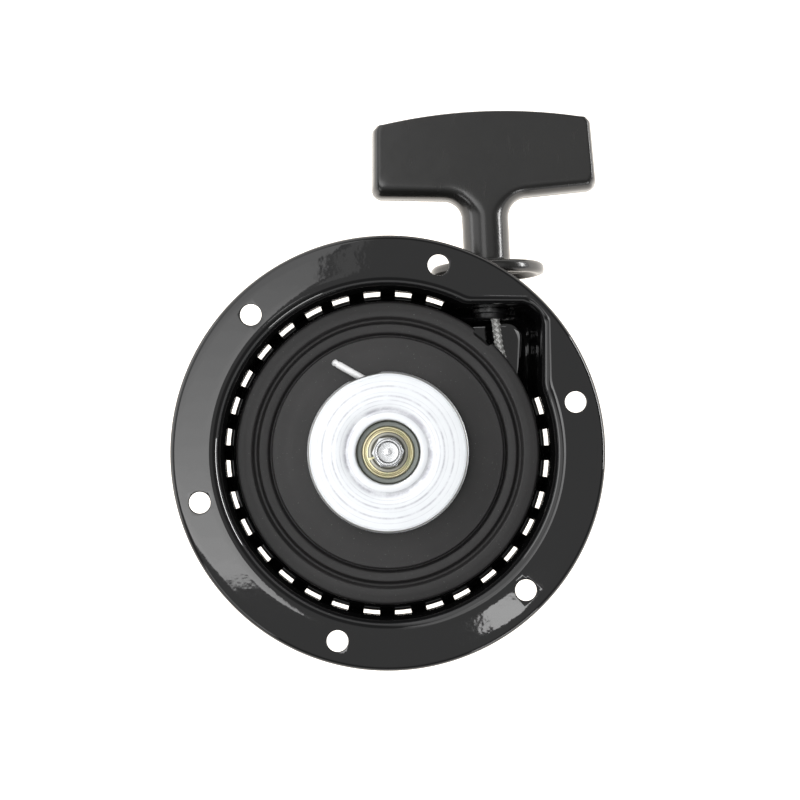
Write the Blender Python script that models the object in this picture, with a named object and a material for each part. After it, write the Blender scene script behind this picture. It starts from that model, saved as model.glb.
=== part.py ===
"""Recoil starter of a small air-cooled engine, as the separate pieces it is put together from.

Metres, +Z up. The starter lies on its back: the outer face of its cover is at z = 0, the crank
axis is the Z axis, and the open side that meets the engine looks up. The rope leaves the housing
towards +Y, at the top right, and ends in a T-shaped grip.
"""
import math

import bmesh
import bpy
from mathutils import Matrix, Vector

# Gaps between pieces that touch in the real assembly
GAP = 0.0003

# Housing, a deep-drawn cup with a flange, in sheet of one thickness
SHEET = 0.0015
FLANGE_TOP = 0.057
FLANGE_RADIUS = 0.092
FLANGE_ROLL = 0.0023
CUP_RADIUS = 0.071
CUP_BEND = 0.0045
CUP_FILLET = 0.008
POCKET_RIGHT = 0.0653
POCKET_TOP = 0.063
POCKET_CORNER = 0.008
POCKET_BLEND = 0.0012
HOLE_RADIUS = 0.0045
HOLE_CIRCLE = 0.082
HOLE_COUNT = 6
HOLE_START = math.radians(15)
SLOT_WIDTH = 0.0071
SLOT_PITCH = 0.014
SLOTS_IN_GROUP = 4
SLOT_BOTTOM = 0.0044
SLOT_TOP = 0.0218
SLOT_GROUPS = [math.radians(45 * k) for k in range(8) if k != 1]

# Centre post, its washers and its bolt
POST_FLANGE_RADIUS = 0.015
POST_FLANGE_TOP = 0.0040
ANCHOR_RADIUS = 0.011
ANCHOR_TOP = 0.0163
SHAFT_RADIUS = 0.009
SHAFT_TOP = 0.0446
SPIGOT_RADIUS = 0.006
SPIGOT_TOP = 0.0474
THREAD_RADIUS = 0.0041
THREAD_BOTTOM = 0.020
BOLT_RADIUS = 0.0038
BOLT_ACROSS_FLATS = 0.012
BOLT_HEAD_HEIGHT = 0.0048
BOLT_RECESS_RADIUS = 0.0042
BOLT_RECESS_DEPTH = 0.0008
WASHER_BORE = 0.0044
REEL_WASHER_RADIUS = 0.0140
REEL_WASHER_THICK = 0.0004
WAVE_INNER = 0.0064
WAVE_OUTER = 0.0087
WAVE_THICK = 0.0003
THRUST_WASHER_RADIUS = 0.0113
THRUST_WASHER_THICK = 0.0015
LOCK_WASHER_RADIUS = 0.0086
LOCK_WASHER_THICK = 0.0012

# Reel, its bush and its spring
RUNNING_GAP = 0.0001
BUSH_RADIUS = 0.011
KEEPER_INNER = 0.0170
KEEPER_THICK = 0.0008
REEL_RADIUS = 0.0657
REEL_LAND_TOP = 0.037
REEL_BEAD_TOP = 0.038
REEL_PLATEAU_TOP = 0.041
REEL_PLATEAU_RADIUS = 0.049
REEL_BOSS_RADIUS = 0.0145
REEL_BOSS_TOP = 0.044
REEL_SKIRT_RADIUS = 0.049
REEL_SKIRT_BOTTOM = 0.0048
CAVITY_RADIUS = 0.0455
CAVITY_TOP = 0.0173
GROOVE_FLOOR = 0.0579
GROOVE_BOTTOM = 0.0211
GROOVE_TOP = 0.0341
REAR_FLANGE_BOTTOM = 0.0192
NOTCH_ANGLE = math.radians(50.5)
NOTCH_WIDTH = 0.0085
NOTCH_FLOOR = 0.0631
NOTCH_BOTTOM = 0.0330
LAND_INNER = 0.0584
FACE_GROOVE_OUTER = 0.0580
FACE_GROOVE_INNER = 0.0556
FACE_GROOVE_FLOOR = 0.0358
BEAD_OUTER = 0.0552
BEAD_INNER = 0.0513
BEAD_GROOVE_FLOOR = 0.0340
SPRING_BOTTOM = 0.0053
SPRING_TOP = 0.0160
SPRING_THICK = 0.0006
SPRING_INNER = 0.0117
SPRING_OUTER = 0.0446
SPRING_TURNS = 7

# Rope
ROPE_RADIUS = 0.0019
WRAP_RADIUS = 0.0605
WRAP_PITCH = 0.0041
WRAP_TURNS = 2.1
WRAP_END = math.radians(15.3)
WRAP_END_Z = 0.0319
KNOT_RADIUS = 0.0042
KNOT_CIRCLE = 0.0616
KNOT_HOLE_RADIUS = 0.0026

# Pawl, friction plate
PAWL_RADIUS = 0.0015
PAWL_Z = 0.0430
PAWL_LENGTH = 0.036
PAWL_ANGLE = math.radians(150.6)
PAWL_PIVOT = Vector((0.0075, 0.0214, PAWL_Z))
PAWL_LEG = 0.010
PAWL_BORE = 0.0018
PAWL_KNEE = 0.0022
PAWL_SPRING_ROOM = 0.0046
PAWL_SPRING_ROOM_BOTTOM = 0.0385
PAWL_SPRING_RADIUS = 0.0032
PAWL_SPRING_WIRE = 0.0003
PLATE_RADIUS = 0.0344
PLATE_TOP = 0.052
PLATE_SHEET = 0.0016
PLATE_HOLE = 0.0136
PLATE_SKIRT_BOTTOM = 0.0418
PLATE_DISH_TOP = 0.0474
PLATE_DISH_THICK = 0.0014
PLATE_RIM_ROUND = 0.0012
PLATE_WINDOW = (math.radians(95), math.radians(119))
PLATE_WINDOW_TOP = 0.0455

# Grip, in its own frame: +Y along the pull, origin at the centre of its foot
GRIP_FOOT = Vector((0.0440, 0.0771, 0.028))
GRIP_TILT = math.radians(2.6)
GRIP_FOOT_RADIUS = 0.0247
GRIP_FOOT_THICK = 0.0052
GRIP_STEM_RADIUS = 0.0101
GRIP_HALF_DEPTH = 0.0097
GRIP_HALF_WIDTH = 0.0494
GRIP_TOP = 0.0729
GRIP_BORE = 0.0026
KNOT_ROOM_RADIUS = 0.0062
KNOT_ROOM_BOTTOM = 0.038

# Rope guide, in the wall of the pocket
GUIDE_CENTRE = Vector((0.0452, POCKET_TOP, 0.028))
GUIDE_BORE = 0.0033
GUIDE_NECK = 0.0061
GUIDE_FLANGE = 0.0080
GUIDE_BACK_FLANGE = 0.0084
GUIDE_MOUTH = 0.0064
GUIDE_NOSE_INTO_FOOT = 0.0032

FINE = 48
ROUND = 36
SMALL = 24


def clear_scene():
    for thing in list(bpy.data.objects):
        bpy.data.objects.remove(thing, do_unlink=True)


def make_material(name, colour, roughness, metallic):
    material = bpy.data.materials.new(name)
    material.use_nodes = True
    shader = material.node_tree.nodes["Principled BSDF"]
    shader.inputs["Base Color"].default_value = (*colour, 1.0)
    shader.inputs["Roughness"].default_value = roughness
    shader.inputs["Metallic"].default_value = metallic
    return material


def add_mesh(name, bm, material, smooth=40):
    bmesh.ops.recalc_face_normals(bm, faces=bm.faces)
    mesh = bpy.data.meshes.new(name)
    bm.to_mesh(mesh)
    bm.free()
    mesh.shade_smooth()
    mesh.set_sharp_from_angle(angle=math.radians(smooth))
    thing = bpy.data.objects.new(name, mesh)
    bpy.context.collection.objects.link(thing)
    if material is not None:
        mesh.materials.append(material)
    return thing


def arc(centre, radius, start, end, steps):
    """Points (r, z) on an arc from start to end, in degrees."""
    angles = [math.radians(start + (end - start) * k / steps) for k in range(steps + 1)]
    return [(centre[0] + radius * math.cos(a), centre[1] + radius * math.sin(a)) for a in angles]


def turn(profile, segments, closed=True):
    """A body turned about Z from (r, z) points; a profile that isn't closed ends on the axis."""
    bm = bmesh.new()
    verts = [bm.verts.new((r, 0.0, z)) for r, z in profile]
    pairs = list(zip(verts, verts[1:]))
    if closed:
        pairs.append((verts[-1], verts[0]))
    edges = [bm.edges.new(pair) for pair in pairs]
    bmesh.ops.spin(bm, geom=verts + edges, cent=(0, 0, 0), axis=(0, 0, 1),
                   angle=math.tau, steps=segments, use_merge=True)
    bmesh.ops.remove_doubles(bm, verts=bm.verts, dist=1e-6)
    return bm


def ring_profile(inner, outer, bottom, top):
    return [(inner, bottom), (outer, bottom), (outer, top), (inner, top)]


def turn_along_y(bm, origin):
    """Lays a body turned about Z along +Y, from origin."""
    bm.transform(Matrix.Translation(origin) @ Matrix.Rotation(math.radians(-90), 4, "X"))
    return bm


def box_mesh(low, high):
    bm = bmesh.new()
    bmesh.ops.create_cube(bm, size=1.0)
    size = Vector(high) - Vector(low)
    middle = (Vector(high) + Vector(low)) / 2
    bm.transform(Matrix.Translation(middle) @ Matrix.Diagonal((*size, 1.0)))
    return bm


def cut(target, bm, turned=0.0, operation="DIFFERENCE"):
    """Cuts a shape, turned about Z, out of the target, or joins it to the target."""
    bm.transform(Matrix.Rotation(turned, 4, "Z"))
    cutter = add_mesh(f"{target.name}_cutter", bm, None)
    cutter.hide_render = True
    cutter.display_type = "WIRE"
    boolean = target.modifiers.new("cut", "BOOLEAN")
    boolean.operation = operation
    boolean.object = cutter
    boolean.solver = "EXACT"
    return cutter


def tube(name, points, radius, material, sides=2):
    """A round rod or rope along points, with flat ends."""
    curve = bpy.data.curves.new(name, "CURVE")
    curve.dimensions = "3D"
    curve.bevel_depth = radius
    curve.bevel_resolution = sides
    curve.use_fill_caps = True
    spline = curve.splines.new("POLY")
    spline.points.add(len(points) - 1)
    for place, point in zip(spline.points, points):
        place.co = (*point, 1.0)
    thing = bpy.data.objects.new(name, curve)
    bpy.context.collection.objects.link(thing)
    curve.materials.append(material)
    return thing


def smooth_path(points, spacing):
    """Points along a Catmull-Rom curve through the given ones, about a spacing apart."""
    ends = [points[0] * 2 - points[1], *points, points[-1] * 2 - points[-2]]
    path = [points[0]]
    for a, b, c, d in zip(ends, ends[1:], ends[2:], ends[3:]):
        steps = max(1, round((c - b).length / spacing))
        for k in range(1, steps + 1):
            t = k / steps
            path.append(0.5 * (2 * b + (c - a) * t + (2 * a - 5 * b + 4 * c - d) * t * t
                               + (3 * b - a - 3 * c + d) * t ** 3))
    return path


# Housing

def pocket_radius(angle):
    """Distance from the axis to the rope pocket's square-cornered wall, or 0 where it has none."""
    c, s = math.cos(angle), math.sin(angle)
    if c < 0.2 or s < 0.2:
        return 0.0
    r = min(POCKET_RIGHT / c, POCKET_TOP / s)
    cx, cy = POCKET_RIGHT - POCKET_CORNER, POCKET_TOP - POCKET_CORNER
    if r * c > cx and r * s > cy:
        along = cx * c + cy * s
        off = cx * cx + cy * cy - along * along
        r = along + math.sqrt(max(POCKET_CORNER ** 2 - off, 0.0))
    return r


def cup_radius(angle):
    """Inner radius of the cup's wall: round, with the rope pocket blended on."""
    pocket = pocket_radius(angle)
    overlap = max(POCKET_BLEND - abs(CUP_RADIUS - pocket), 0.0) / POCKET_BLEND
    return max(CUP_RADIUS, pocket) + POCKET_BLEND * overlap ** 2 / 4


def housing_profile(angle):
    """The sheet's section at one angle, from the axis over the inside and back underneath."""
    wall = cup_radius(angle)
    bend = min(CUP_BEND, FLANGE_RADIUS - FLANGE_ROLL - 0.0004 - wall)
    roll = FLANGE_RADIUS - FLANGE_ROLL
    corner = (wall - CUP_FILLET, SHEET + CUP_FILLET)
    top = (wall + bend, FLANGE_TOP - bend)
    rim = (roll, FLANGE_TOP - FLANGE_ROLL)
    half = 0.42 * CUP_RADIUS
    inside = [(0.0, SHEET), (half, SHEET)] + arc(corner, CUP_FILLET, -90, 0, 3)
    inside += arc(top, bend, 180, 90, 2) + arc(rim, FLANGE_ROLL, 90, 0, 2)
    outside = arc(rim, FLANGE_ROLL - SHEET, 0, 90, 1) + arc(top, bend - SHEET, 90, 180, 1)
    outside += arc(corner, CUP_FILLET + SHEET, 0, -90, 3) + [(half, 0.0), (0.0, 0.0)]
    return inside + outside


def housing_angles():
    """Directions of the section: 6 degrees apart, and closer around the rope pocket."""
    coarse = [6 * k for k in range(60) if not 18 < 6 * k < 67]
    close = [21 + 2.5 * k for k in range(19)]
    return [math.radians(a) for a in sorted(coarse + close)]


def make_housing(material):
    bm = bmesh.new()
    rings = []
    for angle in housing_angles():
        turned = [(r * math.cos(angle), r * math.sin(angle), z) for r, z in housing_profile(angle)]
        rings.append([bm.verts.new(p) for p in turned])
    for ring, after in zip(rings, rings[1:] + rings[:1]):
        for k in range(len(ring) - 1):
            bm.faces.new((ring[k], ring[k + 1], after[k + 1], after[k]))
    bmesh.ops.remove_doubles(bm, verts=bm.verts, dist=1e-6)
    housing = add_mesh("housing", bm, material)
    slots = bmesh.new()
    for group in SLOT_GROUPS:
        for k in range(SLOTS_IN_GROUP):
            y = (k - (SLOTS_IN_GROUP - 1) / 2) * SLOT_PITCH
            slot = box_mesh((0.060, y - SLOT_WIDTH / 2, SLOT_BOTTOM),
                            (0.078, y + SLOT_WIDTH / 2, SLOT_TOP))
            slot.transform(Matrix.Rotation(group, 4, "Z"))
            join(slots, slot)
    cut(housing, slots)
    holes = bmesh.new()
    for k in range(HOLE_COUNT):
        hole = turn([(0.0, 0.050), (HOLE_RADIUS, 0.050), (HOLE_RADIUS, 0.060), (0.0, 0.060)],
                    20, closed=False)
        hole.transform(Matrix.Translation((HOLE_CIRCLE, 0, 0)))
        hole.transform(Matrix.Rotation(HOLE_START + math.tau * k / HOLE_COUNT, 4, "Z"))
        join(holes, hole)
    cut(housing, holes)
    mouth = turn([(0.0, -0.006), (GUIDE_MOUTH, -0.006), (GUIDE_MOUTH, 0.006), (0.0, 0.006)],
                 SMALL, closed=False)
    cut(housing, turn_along_y(mouth, GUIDE_CENTRE))
    return housing


def join(target, source):
    """Adds one bmesh's bodies to another's, and frees the first."""
    bmesh.ops.recalc_face_normals(source, faces=source.faces)
    mesh = bpy.data.meshes.new("scratch")
    source.to_mesh(mesh)
    source.free()
    target.from_mesh(mesh)
    bpy.data.meshes.remove(mesh)


def make_rope_guide(material):
    """A flanged bush: a rounded lip and a flange inside the pocket, a nose outside it."""
    inside = -GAP
    outside = SHEET + GAP
    nose_end = GRIP_FOOT.y + GUIDE_NOSE_INTO_FOOT - POCKET_TOP
    profile = [(GUIDE_BORE, nose_end - 0.001), (GUIDE_BORE, -0.0015), (0.0048, -0.0042)]
    profile += [(0.0062, -0.0047), (0.0068, -0.0040), (0.0070, -0.0024), (GUIDE_FLANGE, -0.0022)]
    profile += [(GUIDE_FLANGE, inside), (GUIDE_NECK, inside), (GUIDE_NECK, outside)]
    profile += [(GUIDE_BACK_FLANGE, outside), (GUIDE_BACK_FLANGE, outside + 0.002)]
    profile += [(0.0068, outside + 0.004), (0.0062, nose_end - 0.001)]
    profile += [(0.0056, nose_end), (0.0040, nose_end)]
    return add_mesh("rope_guide", turn_along_y(turn(profile, SMALL), GUIDE_CENTRE), material)


# Centre

def make_center_post(material):
    foot = SHEET + GAP
    profile = [(0.0, foot), (POST_FLANGE_RADIUS, foot), (POST_FLANGE_RADIUS, POST_FLANGE_TOP)]
    profile += [(ANCHOR_RADIUS, POST_FLANGE_TOP), (ANCHOR_RADIUS, ANCHOR_TOP)]
    profile += [(SHAFT_RADIUS, ANCHOR_TOP), (SHAFT_RADIUS, SHAFT_TOP), (SPIGOT_RADIUS, SHAFT_TOP)]
    profile += [(SPIGOT_RADIUS, SPIGOT_TOP), (THREAD_RADIUS, SPIGOT_TOP)]
    profile += [(THREAD_RADIUS, THREAD_BOTTOM), (0.0, THREAD_BOTTOM - 0.002)]
    return add_mesh("center_post", turn(profile, ROUND, closed=False), material)


def make_washer(name, inner, outer, bottom, thick, material, segments=SMALL):
    bm = turn(ring_profile(inner, outer, bottom, bottom + thick), segments)
    return add_mesh(name, bm, material)


def make_lock_washer(material, bottom):
    """A split washer: a ring whose two ends stand a little apart."""
    washer = make_washer("lock_washer", WASHER_BORE, LOCK_WASHER_RADIUS, bottom,
                         LOCK_WASHER_THICK, material)
    gap = box_mesh((0.0, -0.0005, bottom - 0.001), (0.012, 0.0005, bottom + 0.004))
    cut(washer, gap, math.radians(200))
    return washer


def make_center_bolt(material, bottom):
    """A hexagon-head bolt with a shallow round recess in its head."""
    corner = BOLT_ACROSS_FLATS / math.sqrt(3)
    top = bottom + BOLT_HEAD_HEIGHT
    bm = turn([(0.0, bottom), (corner, bottom), (corner, top), (0.0, top)], 6, closed=False)
    bolt = add_mesh("center_bolt", bm, material)
    end = THREAD_BOTTOM + 0.002
    shank = turn([(0.0, end), (BOLT_RADIUS - 0.001, end), (BOLT_RADIUS, end + 0.001),
                  (BOLT_RADIUS, bottom + 0.001), (0.0, bottom + 0.001)], SMALL, closed=False)
    cut(bolt, shank, operation="UNION")
    recess_floor = top - BOLT_RECESS_DEPTH
    recess = turn([(0.0, recess_floor), (BOLT_RECESS_RADIUS, recess_floor),
                   (BOLT_RECESS_RADIUS, top + 0.001), (0.0, top + 0.001)], SMALL, closed=False)
    cut(bolt, recess)
    return bolt


def make_friction_spring(material):
    """A thin wave washer with three crests, between the post's shoulder and the plate."""
    bottom = SHAFT_TOP + GAP
    bm = turn(ring_profile(WAVE_INNER, WAVE_OUTER, bottom, bottom + WAVE_THICK), SMALL)
    for vert in bm.verts:
        vert.co.z += 0.00015 * (1 + math.cos(3 * math.atan2(vert.co.y, vert.co.x)))
    return add_mesh("friction_spring", bm, material)


def make_friction_plate(material):
    """A pressed dish turned upside down, with a window in its skirt for the pawl."""
    wall = PLATE_HOLE + PLATE_SHEET
    under = PLATE_TOP - PLATE_SHEET
    dish = PLATE_DISH_TOP - PLATE_DISH_THICK
    rim = (PLATE_RADIUS - PLATE_RIM_ROUND, PLATE_TOP - PLATE_RIM_ROUND)
    profile = [(SPIGOT_RADIUS + 0.0003, dish), (wall, dish), (wall, under)]
    profile += [(PLATE_RADIUS - PLATE_SHEET, under), (PLATE_RADIUS - PLATE_SHEET, PLATE_SKIRT_BOTTOM)]
    profile += [(PLATE_RADIUS, PLATE_SKIRT_BOTTOM)]
    profile += arc(rim, PLATE_RIM_ROUND, 0, 90, 2)
    profile += [(PLATE_HOLE + 0.0006, PLATE_TOP), (PLATE_HOLE, PLATE_TOP - 0.0006)]
    profile += [(PLATE_HOLE, PLATE_DISH_TOP), (SPIGOT_RADIUS + 0.0003, PLATE_DISH_TOP)]
    plate = add_mesh("friction_plate", turn(profile, FINE), material)
    start, end = PLATE_WINDOW
    outline = [(r * math.cos(a), r * math.sin(a)) for r, a in
               ((0.029, start), (0.036, start), (0.037, (start + end) / 2), (0.036, end), (0.029, end))]
    window = prism(outline, PLATE_SKIRT_BOTTOM - 0.002, PLATE_WINDOW_TOP)
    cut(plate, window)
    return plate


def prism(outline, bottom, top):
    """A straight-sided block from a flat outline of (x, y) points."""
    bm = bmesh.new()
    base = bm.faces.new([bm.verts.new((x, y, bottom)) for x, y in outline])
    grown = bmesh.ops.extrude_face_region(bm, geom=[base])["geom"]
    bmesh.ops.translate(bm, vec=(0, 0, top - bottom),
                        verts=[v for v in grown if isinstance(v, bmesh.types.BMVert)])
    return bm


# Reel

def make_reel(material):
    """The moulded reel: spring cavity behind, rope groove around it, stepped face in front."""
    profile = [(BUSH_RADIUS + GAP, CAVITY_TOP), (CAVITY_RADIUS, CAVITY_TOP)]
    profile += [(CAVITY_RADIUS, REEL_SKIRT_BOTTOM), (REEL_SKIRT_RADIUS, REEL_SKIRT_BOTTOM)]
    profile += [(REEL_SKIRT_RADIUS, REAR_FLANGE_BOTTOM), (REEL_RADIUS - 0.0006, REAR_FLANGE_BOTTOM)]
    profile += [(REEL_RADIUS, REAR_FLANGE_BOTTOM + 0.0008), (GROOVE_FLOOR, GROOVE_BOTTOM)]
    profile += [(GROOVE_FLOOR, GROOVE_TOP), (REEL_RADIUS, GROOVE_TOP + 0.0010)]
    profile += [(REEL_RADIUS, REEL_LAND_TOP - 0.0008), (REEL_RADIUS - 0.0008, REEL_LAND_TOP)]
    profile += [(LAND_INNER, REEL_LAND_TOP - 0.0002), (FACE_GROOVE_OUTER, FACE_GROOVE_FLOOR)]
    profile += [(FACE_GROOVE_INNER, FACE_GROOVE_FLOOR), (BEAD_OUTER, REEL_BEAD_TOP - 0.0006)]
    profile += [(BEAD_OUTER - 0.0008, REEL_BEAD_TOP), (BEAD_INNER + 0.0011, REEL_BEAD_TOP)]
    profile += [(BEAD_INNER + 0.0003, REEL_BEAD_TOP - 0.0006), (BEAD_INNER, BEAD_GROOVE_FLOOR)]
    profile += [(REEL_PLATEAU_RADIUS + 0.0004, BEAD_GROOVE_FLOOR)]
    profile += [(REEL_PLATEAU_RADIUS, REEL_PLATEAU_TOP - 0.0006)]
    profile += [(REEL_PLATEAU_RADIUS - 0.0006, REEL_PLATEAU_TOP)]
    profile += [(REEL_BOSS_RADIUS, REEL_PLATEAU_TOP), (REEL_BOSS_RADIUS, REEL_BOSS_TOP)]
    profile += [(BUSH_RADIUS + GAP, REEL_BOSS_TOP)]
    reel = add_mesh("reel", turn(profile, FINE), material)
    half = NOTCH_WIDTH / 2
    notch = prism([(NOTCH_FLOOR, -half), (0.070, -half - 0.002), (0.070, half + 0.002),
                   (NOTCH_FLOOR, half)], NOTCH_BOTTOM, REEL_LAND_TOP + 0.003)
    cut(reel, notch, NOTCH_ANGLE)
    bore = turn([(0.0, PAWL_Z - PAWL_LEG - 0.001), (PAWL_BORE, PAWL_Z - PAWL_LEG - 0.001),
                 (PAWL_BORE, PAWL_SPRING_ROOM_BOTTOM), (PAWL_SPRING_ROOM, PAWL_SPRING_ROOM_BOTTOM),
                 (PAWL_SPRING_ROOM, 0.042), (0.0, 0.042)], 20, closed=False)
    bore.transform(Matrix.Translation((PAWL_PIVOT.x, PAWL_PIVOT.y, 0)))
    cut(reel, bore)
    hole = turn([(0.0, 0.016), (KNOT_HOLE_RADIUS, 0.016), (KNOT_HOLE_RADIUS, 0.0225), (0.0, 0.0225)],
                16, closed=False)
    hole.transform(Matrix.Translation((KNOT_CIRCLE, 0, 0)))
    cut(reel, hole, knot_angle())
    return reel


def knot_angle():
    """Where on the reel the wound rope starts."""
    return WRAP_END - math.tau * WRAP_TURNS


def make_reel_bush(material):
    return make_washer("reel_bush", SHAFT_RADIUS + RUNNING_GAP, BUSH_RADIUS, CAVITY_TOP + 0.0002,
                       REEL_BOSS_TOP - CAVITY_TOP - 0.0004, material, ROUND)


def make_power_spring(material):
    """A flat strip wound in a spiral, its inner end beside the post, its outer end at the reel."""
    per_turn = 20
    count = SPRING_TURNS * per_turn
    bm = bmesh.new()
    rings = []
    for k in range(count + 1):
        angle = math.tau * k / per_turn
        radius = SPRING_INNER + (SPRING_OUTER - SPRING_INNER) * k / count
        inner, outer = radius - SPRING_THICK / 2, radius + SPRING_THICK / 2
        way = (math.cos(angle), math.sin(angle))
        corners = ring_profile(inner, outer, SPRING_BOTTOM, SPRING_TOP)
        rings.append([bm.verts.new((r * way[0], r * way[1], z)) for r, z in corners])
    for ring, after in zip(rings, rings[1:]):
        for k in range(4):
            bm.faces.new((ring[k], ring[(k + 1) % 4], after[(k + 1) % 4], after[k]))
    bm.faces.new(rings[0])
    bm.faces.new(rings[-1])
    return add_mesh("power_spring", bm, material)


# Rope

def make_rope_wound(material):
    """The turns that lie side by side in the reel's groove."""
    count = round(36 * WRAP_TURNS)
    points = []
    for k in range(count + 1):
        angle = knot_angle() + math.tau * WRAP_TURNS * k / count
        z = WRAP_END_Z - WRAP_PITCH * WRAP_TURNS * (1 - k / count)
        points.append((WRAP_RADIUS * math.cos(angle), WRAP_RADIUS * math.sin(angle), z))
    return tube("rope_wound", points, ROPE_RADIUS, material)


def grip_point(along):
    """A point on the grip's own axis, so far from its foot."""
    way = Vector((-math.sin(GRIP_TILT), math.cos(GRIP_TILT), 0))
    return GRIP_FOOT + way * along


def make_rope_lead(material):
    """The free length: tangent off the reel, through the guide and up the grip's stem."""
    start = Vector((math.cos(WRAP_END), math.sin(WRAP_END), 0)) * WRAP_RADIUS
    start.z = WRAP_END_Z
    way = Vector((-math.sin(WRAP_END), math.cos(WRAP_END), 0))
    route = [start + way * GAP * 2, start + way * 0.010, Vector((0.0522, 0.0350, 0.0317))]
    route += [Vector((0.0490, 0.0450, 0.0306)), Vector((0.0482, 0.0510, 0.0292))]
    route += [Vector((0.0473, 0.0575, 0.0284)), Vector((0.0463, 0.0625, 0.0281))]
    route += [Vector((0.0449, 0.0700, 0.0280))]
    route += [grip_point(0.005), grip_point(0.020), grip_point(KNOT_ROOM_BOTTOM + 0.0016)]
    return tube("rope_lead", smooth_path(route, 0.005), ROPE_RADIUS, material)


def make_knot(name, material, centre, stub=None):
    """A tight round knot, with a short stub of rope where one leads into it."""
    bm = bmesh.new()
    bmesh.ops.create_icosphere(bm, subdivisions=2, radius=KNOT_RADIUS)
    bm.transform(Matrix.Translation(centre))
    knot = add_mesh(name, bm, material)
    if stub is not None:
        post = turn([(0.0, centre.z), (ROPE_RADIUS, centre.z), (ROPE_RADIUS, stub), (0.0, stub)],
                    12, closed=False)
        post.transform(Matrix.Translation((centre.x, centre.y, 0)))
        cut(knot, post, operation="UNION")
    return knot


# Pawl

def make_pawl(material):
    """A bent steel rod: an upright leg in the reel, and an arm whose round tip drives the cup."""
    way = Vector((math.cos(PAWL_ANGLE), math.sin(PAWL_ANGLE), 0))
    points = [Vector((0, 0, -PAWL_LEG)), Vector((0, 0, -PAWL_KNEE))]
    for k in range(1, 4):
        bent = math.radians(90) * k / 4
        rise = Vector((0, 0, -PAWL_KNEE * (1 - math.sin(bent))))
        points.append(way * PAWL_KNEE * (1 - math.cos(bent)) + rise)
    points += [way * PAWL_KNEE, way * (PAWL_LENGTH * 0.5), way * PAWL_LENGTH]
    pawl = tube("pawl", points, PAWL_RADIUS, material, sides=3)
    pawl.location = PAWL_PIVOT
    return pawl


def make_pawl_spring(material):
    """A light coil around the pawl's leg."""
    points = []
    for k in range(34):
        angle = PAWL_ANGLE - math.radians(90) + math.tau * k / 16
        out = Vector((math.cos(angle), math.sin(angle), 0)) * PAWL_SPRING_RADIUS
        points.append(out + Vector((0, 0, -0.0039 + 0.0008 * k / 16)))
    spring = tube("pawl_spring", points, PAWL_SPRING_WIRE, material, sides=0)
    spring.location = PAWL_PIVOT
    return spring


# Grip

def grip_sections():
    """(y, half width, half depth, squareness) of the grip's cross-sections, foot to crown."""
    foot, stem, depth, wide = GRIP_FOOT_RADIUS, GRIP_STEM_RADIUS, GRIP_HALF_DEPTH, GRIP_HALF_WIDTH
    sections = [(0.0, foot - 0.0022, foot - 0.0022, 2.0)]
    for y, r in arc((GRIP_FOOT_THICK / 2, foot - 0.0022), 0.0022, 150, 30, 4):
        sections.append((y, r, r, 2.0))
    sections.append((GRIP_FOOT_THICK, foot - 0.0022, foot - 0.0022, 2.0))
    sections += [(0.0058, 0.0128, 0.0128, 2.0), (0.0080, 0.0106, 0.0106, 2.0)]
    sections += [(0.0120, stem, stem, 2.0), (0.0225, stem, stem, 2.0)]
    for k in range(1, 6):
        bent = math.radians(90) * k / 6
        y = 0.0225 + 0.0115 * math.sin(bent)
        width = stem + 0.0115 * (1 - math.cos(bent))
        blend = (1 - math.cos(bent))
        sections.append((y, width, stem + (depth - stem) * blend, 2.0 + 2.5 * blend))
    sections += [(0.0346, 0.0300, depth - 0.0006, 4.5), (0.0358, 0.0440, depth, 4.5)]
    for k in range(1, 4):
        bent = math.radians(90) * k / 3
        sections.append((0.0358 + 0.0040 * (1 - math.cos(bent)), 0.0440 + (wide - 0.0442) * math.sin(bent),
                         depth, 4.5))
    sections += [(0.0520, wide, depth, 4.5), (0.0638, wide - 0.0008, depth, 4.5)]
    sections += [(0.0671, 0.0470, depth - 0.0004, 4.5), (0.0692, 0.0420, depth - 0.0012, 4.2)]
    sections += [(0.0710, 0.0310, depth - 0.0024, 4.0), (0.0722, 0.0190, depth - 0.0036, 3.6)]
    sections += [(GRIP_TOP, 0.0070, depth - 0.0052, 3.0)]
    return sections


def make_handle_grip(material, parent):
    """Foot, stem and crossbar as one moulding, bored for the rope and its knot."""
    bm = bmesh.new()
    around = 24
    rings = []
    for y, width, depth, square in grip_sections():
        ring = []
        for k in range(around):
            c, s = math.cos(math.tau * k / around), math.sin(math.tau * k / around)
            x = width * math.copysign(abs(c) ** (2 / square), c)
            z = depth * math.copysign(abs(s) ** (2 / square), s)
            ring.append(bm.verts.new((x, y, z)))
        rings.append(ring)
    for ring, after in zip(rings, rings[1:]):
        for k in range(around):
            j = (k + 1) % around
            bm.faces.new((ring[k], ring[j], after[j], after[k]))
    bm.faces.new(rings[0])
    bm.faces.new(rings[-1])
    grip = add_mesh("handle_grip", bm, material)
    hollow = [(0.0, -0.001), (0.0222, -0.001), (0.0200, 0.0006), (0.0090, 0.0035)]
    hollow += [(GRIP_BORE, 0.0035), (GRIP_BORE, KNOT_ROOM_BOTTOM)]
    hollow += [(KNOT_ROOM_RADIUS, KNOT_ROOM_BOTTOM), (KNOT_ROOM_RADIUS, 0.075), (0.0, 0.075)]
    bored = turn_along_y(turn(hollow, SMALL, closed=False), (0, 0, 0))
    cutter = cut(grip, bored)
    for thing in (grip, cutter):
        thing.parent = parent
    return grip


def make_handle_washer(material, parent):
    bm = turn(ring_profile(0.0024, 0.0058, KNOT_ROOM_BOTTOM + GAP, KNOT_ROOM_BOTTOM + 0.0013), 24)
    washer = add_mesh("handle_washer", turn_along_y(bm, (0, 0, 0)), material)
    washer.parent = parent
    return washer


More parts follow.
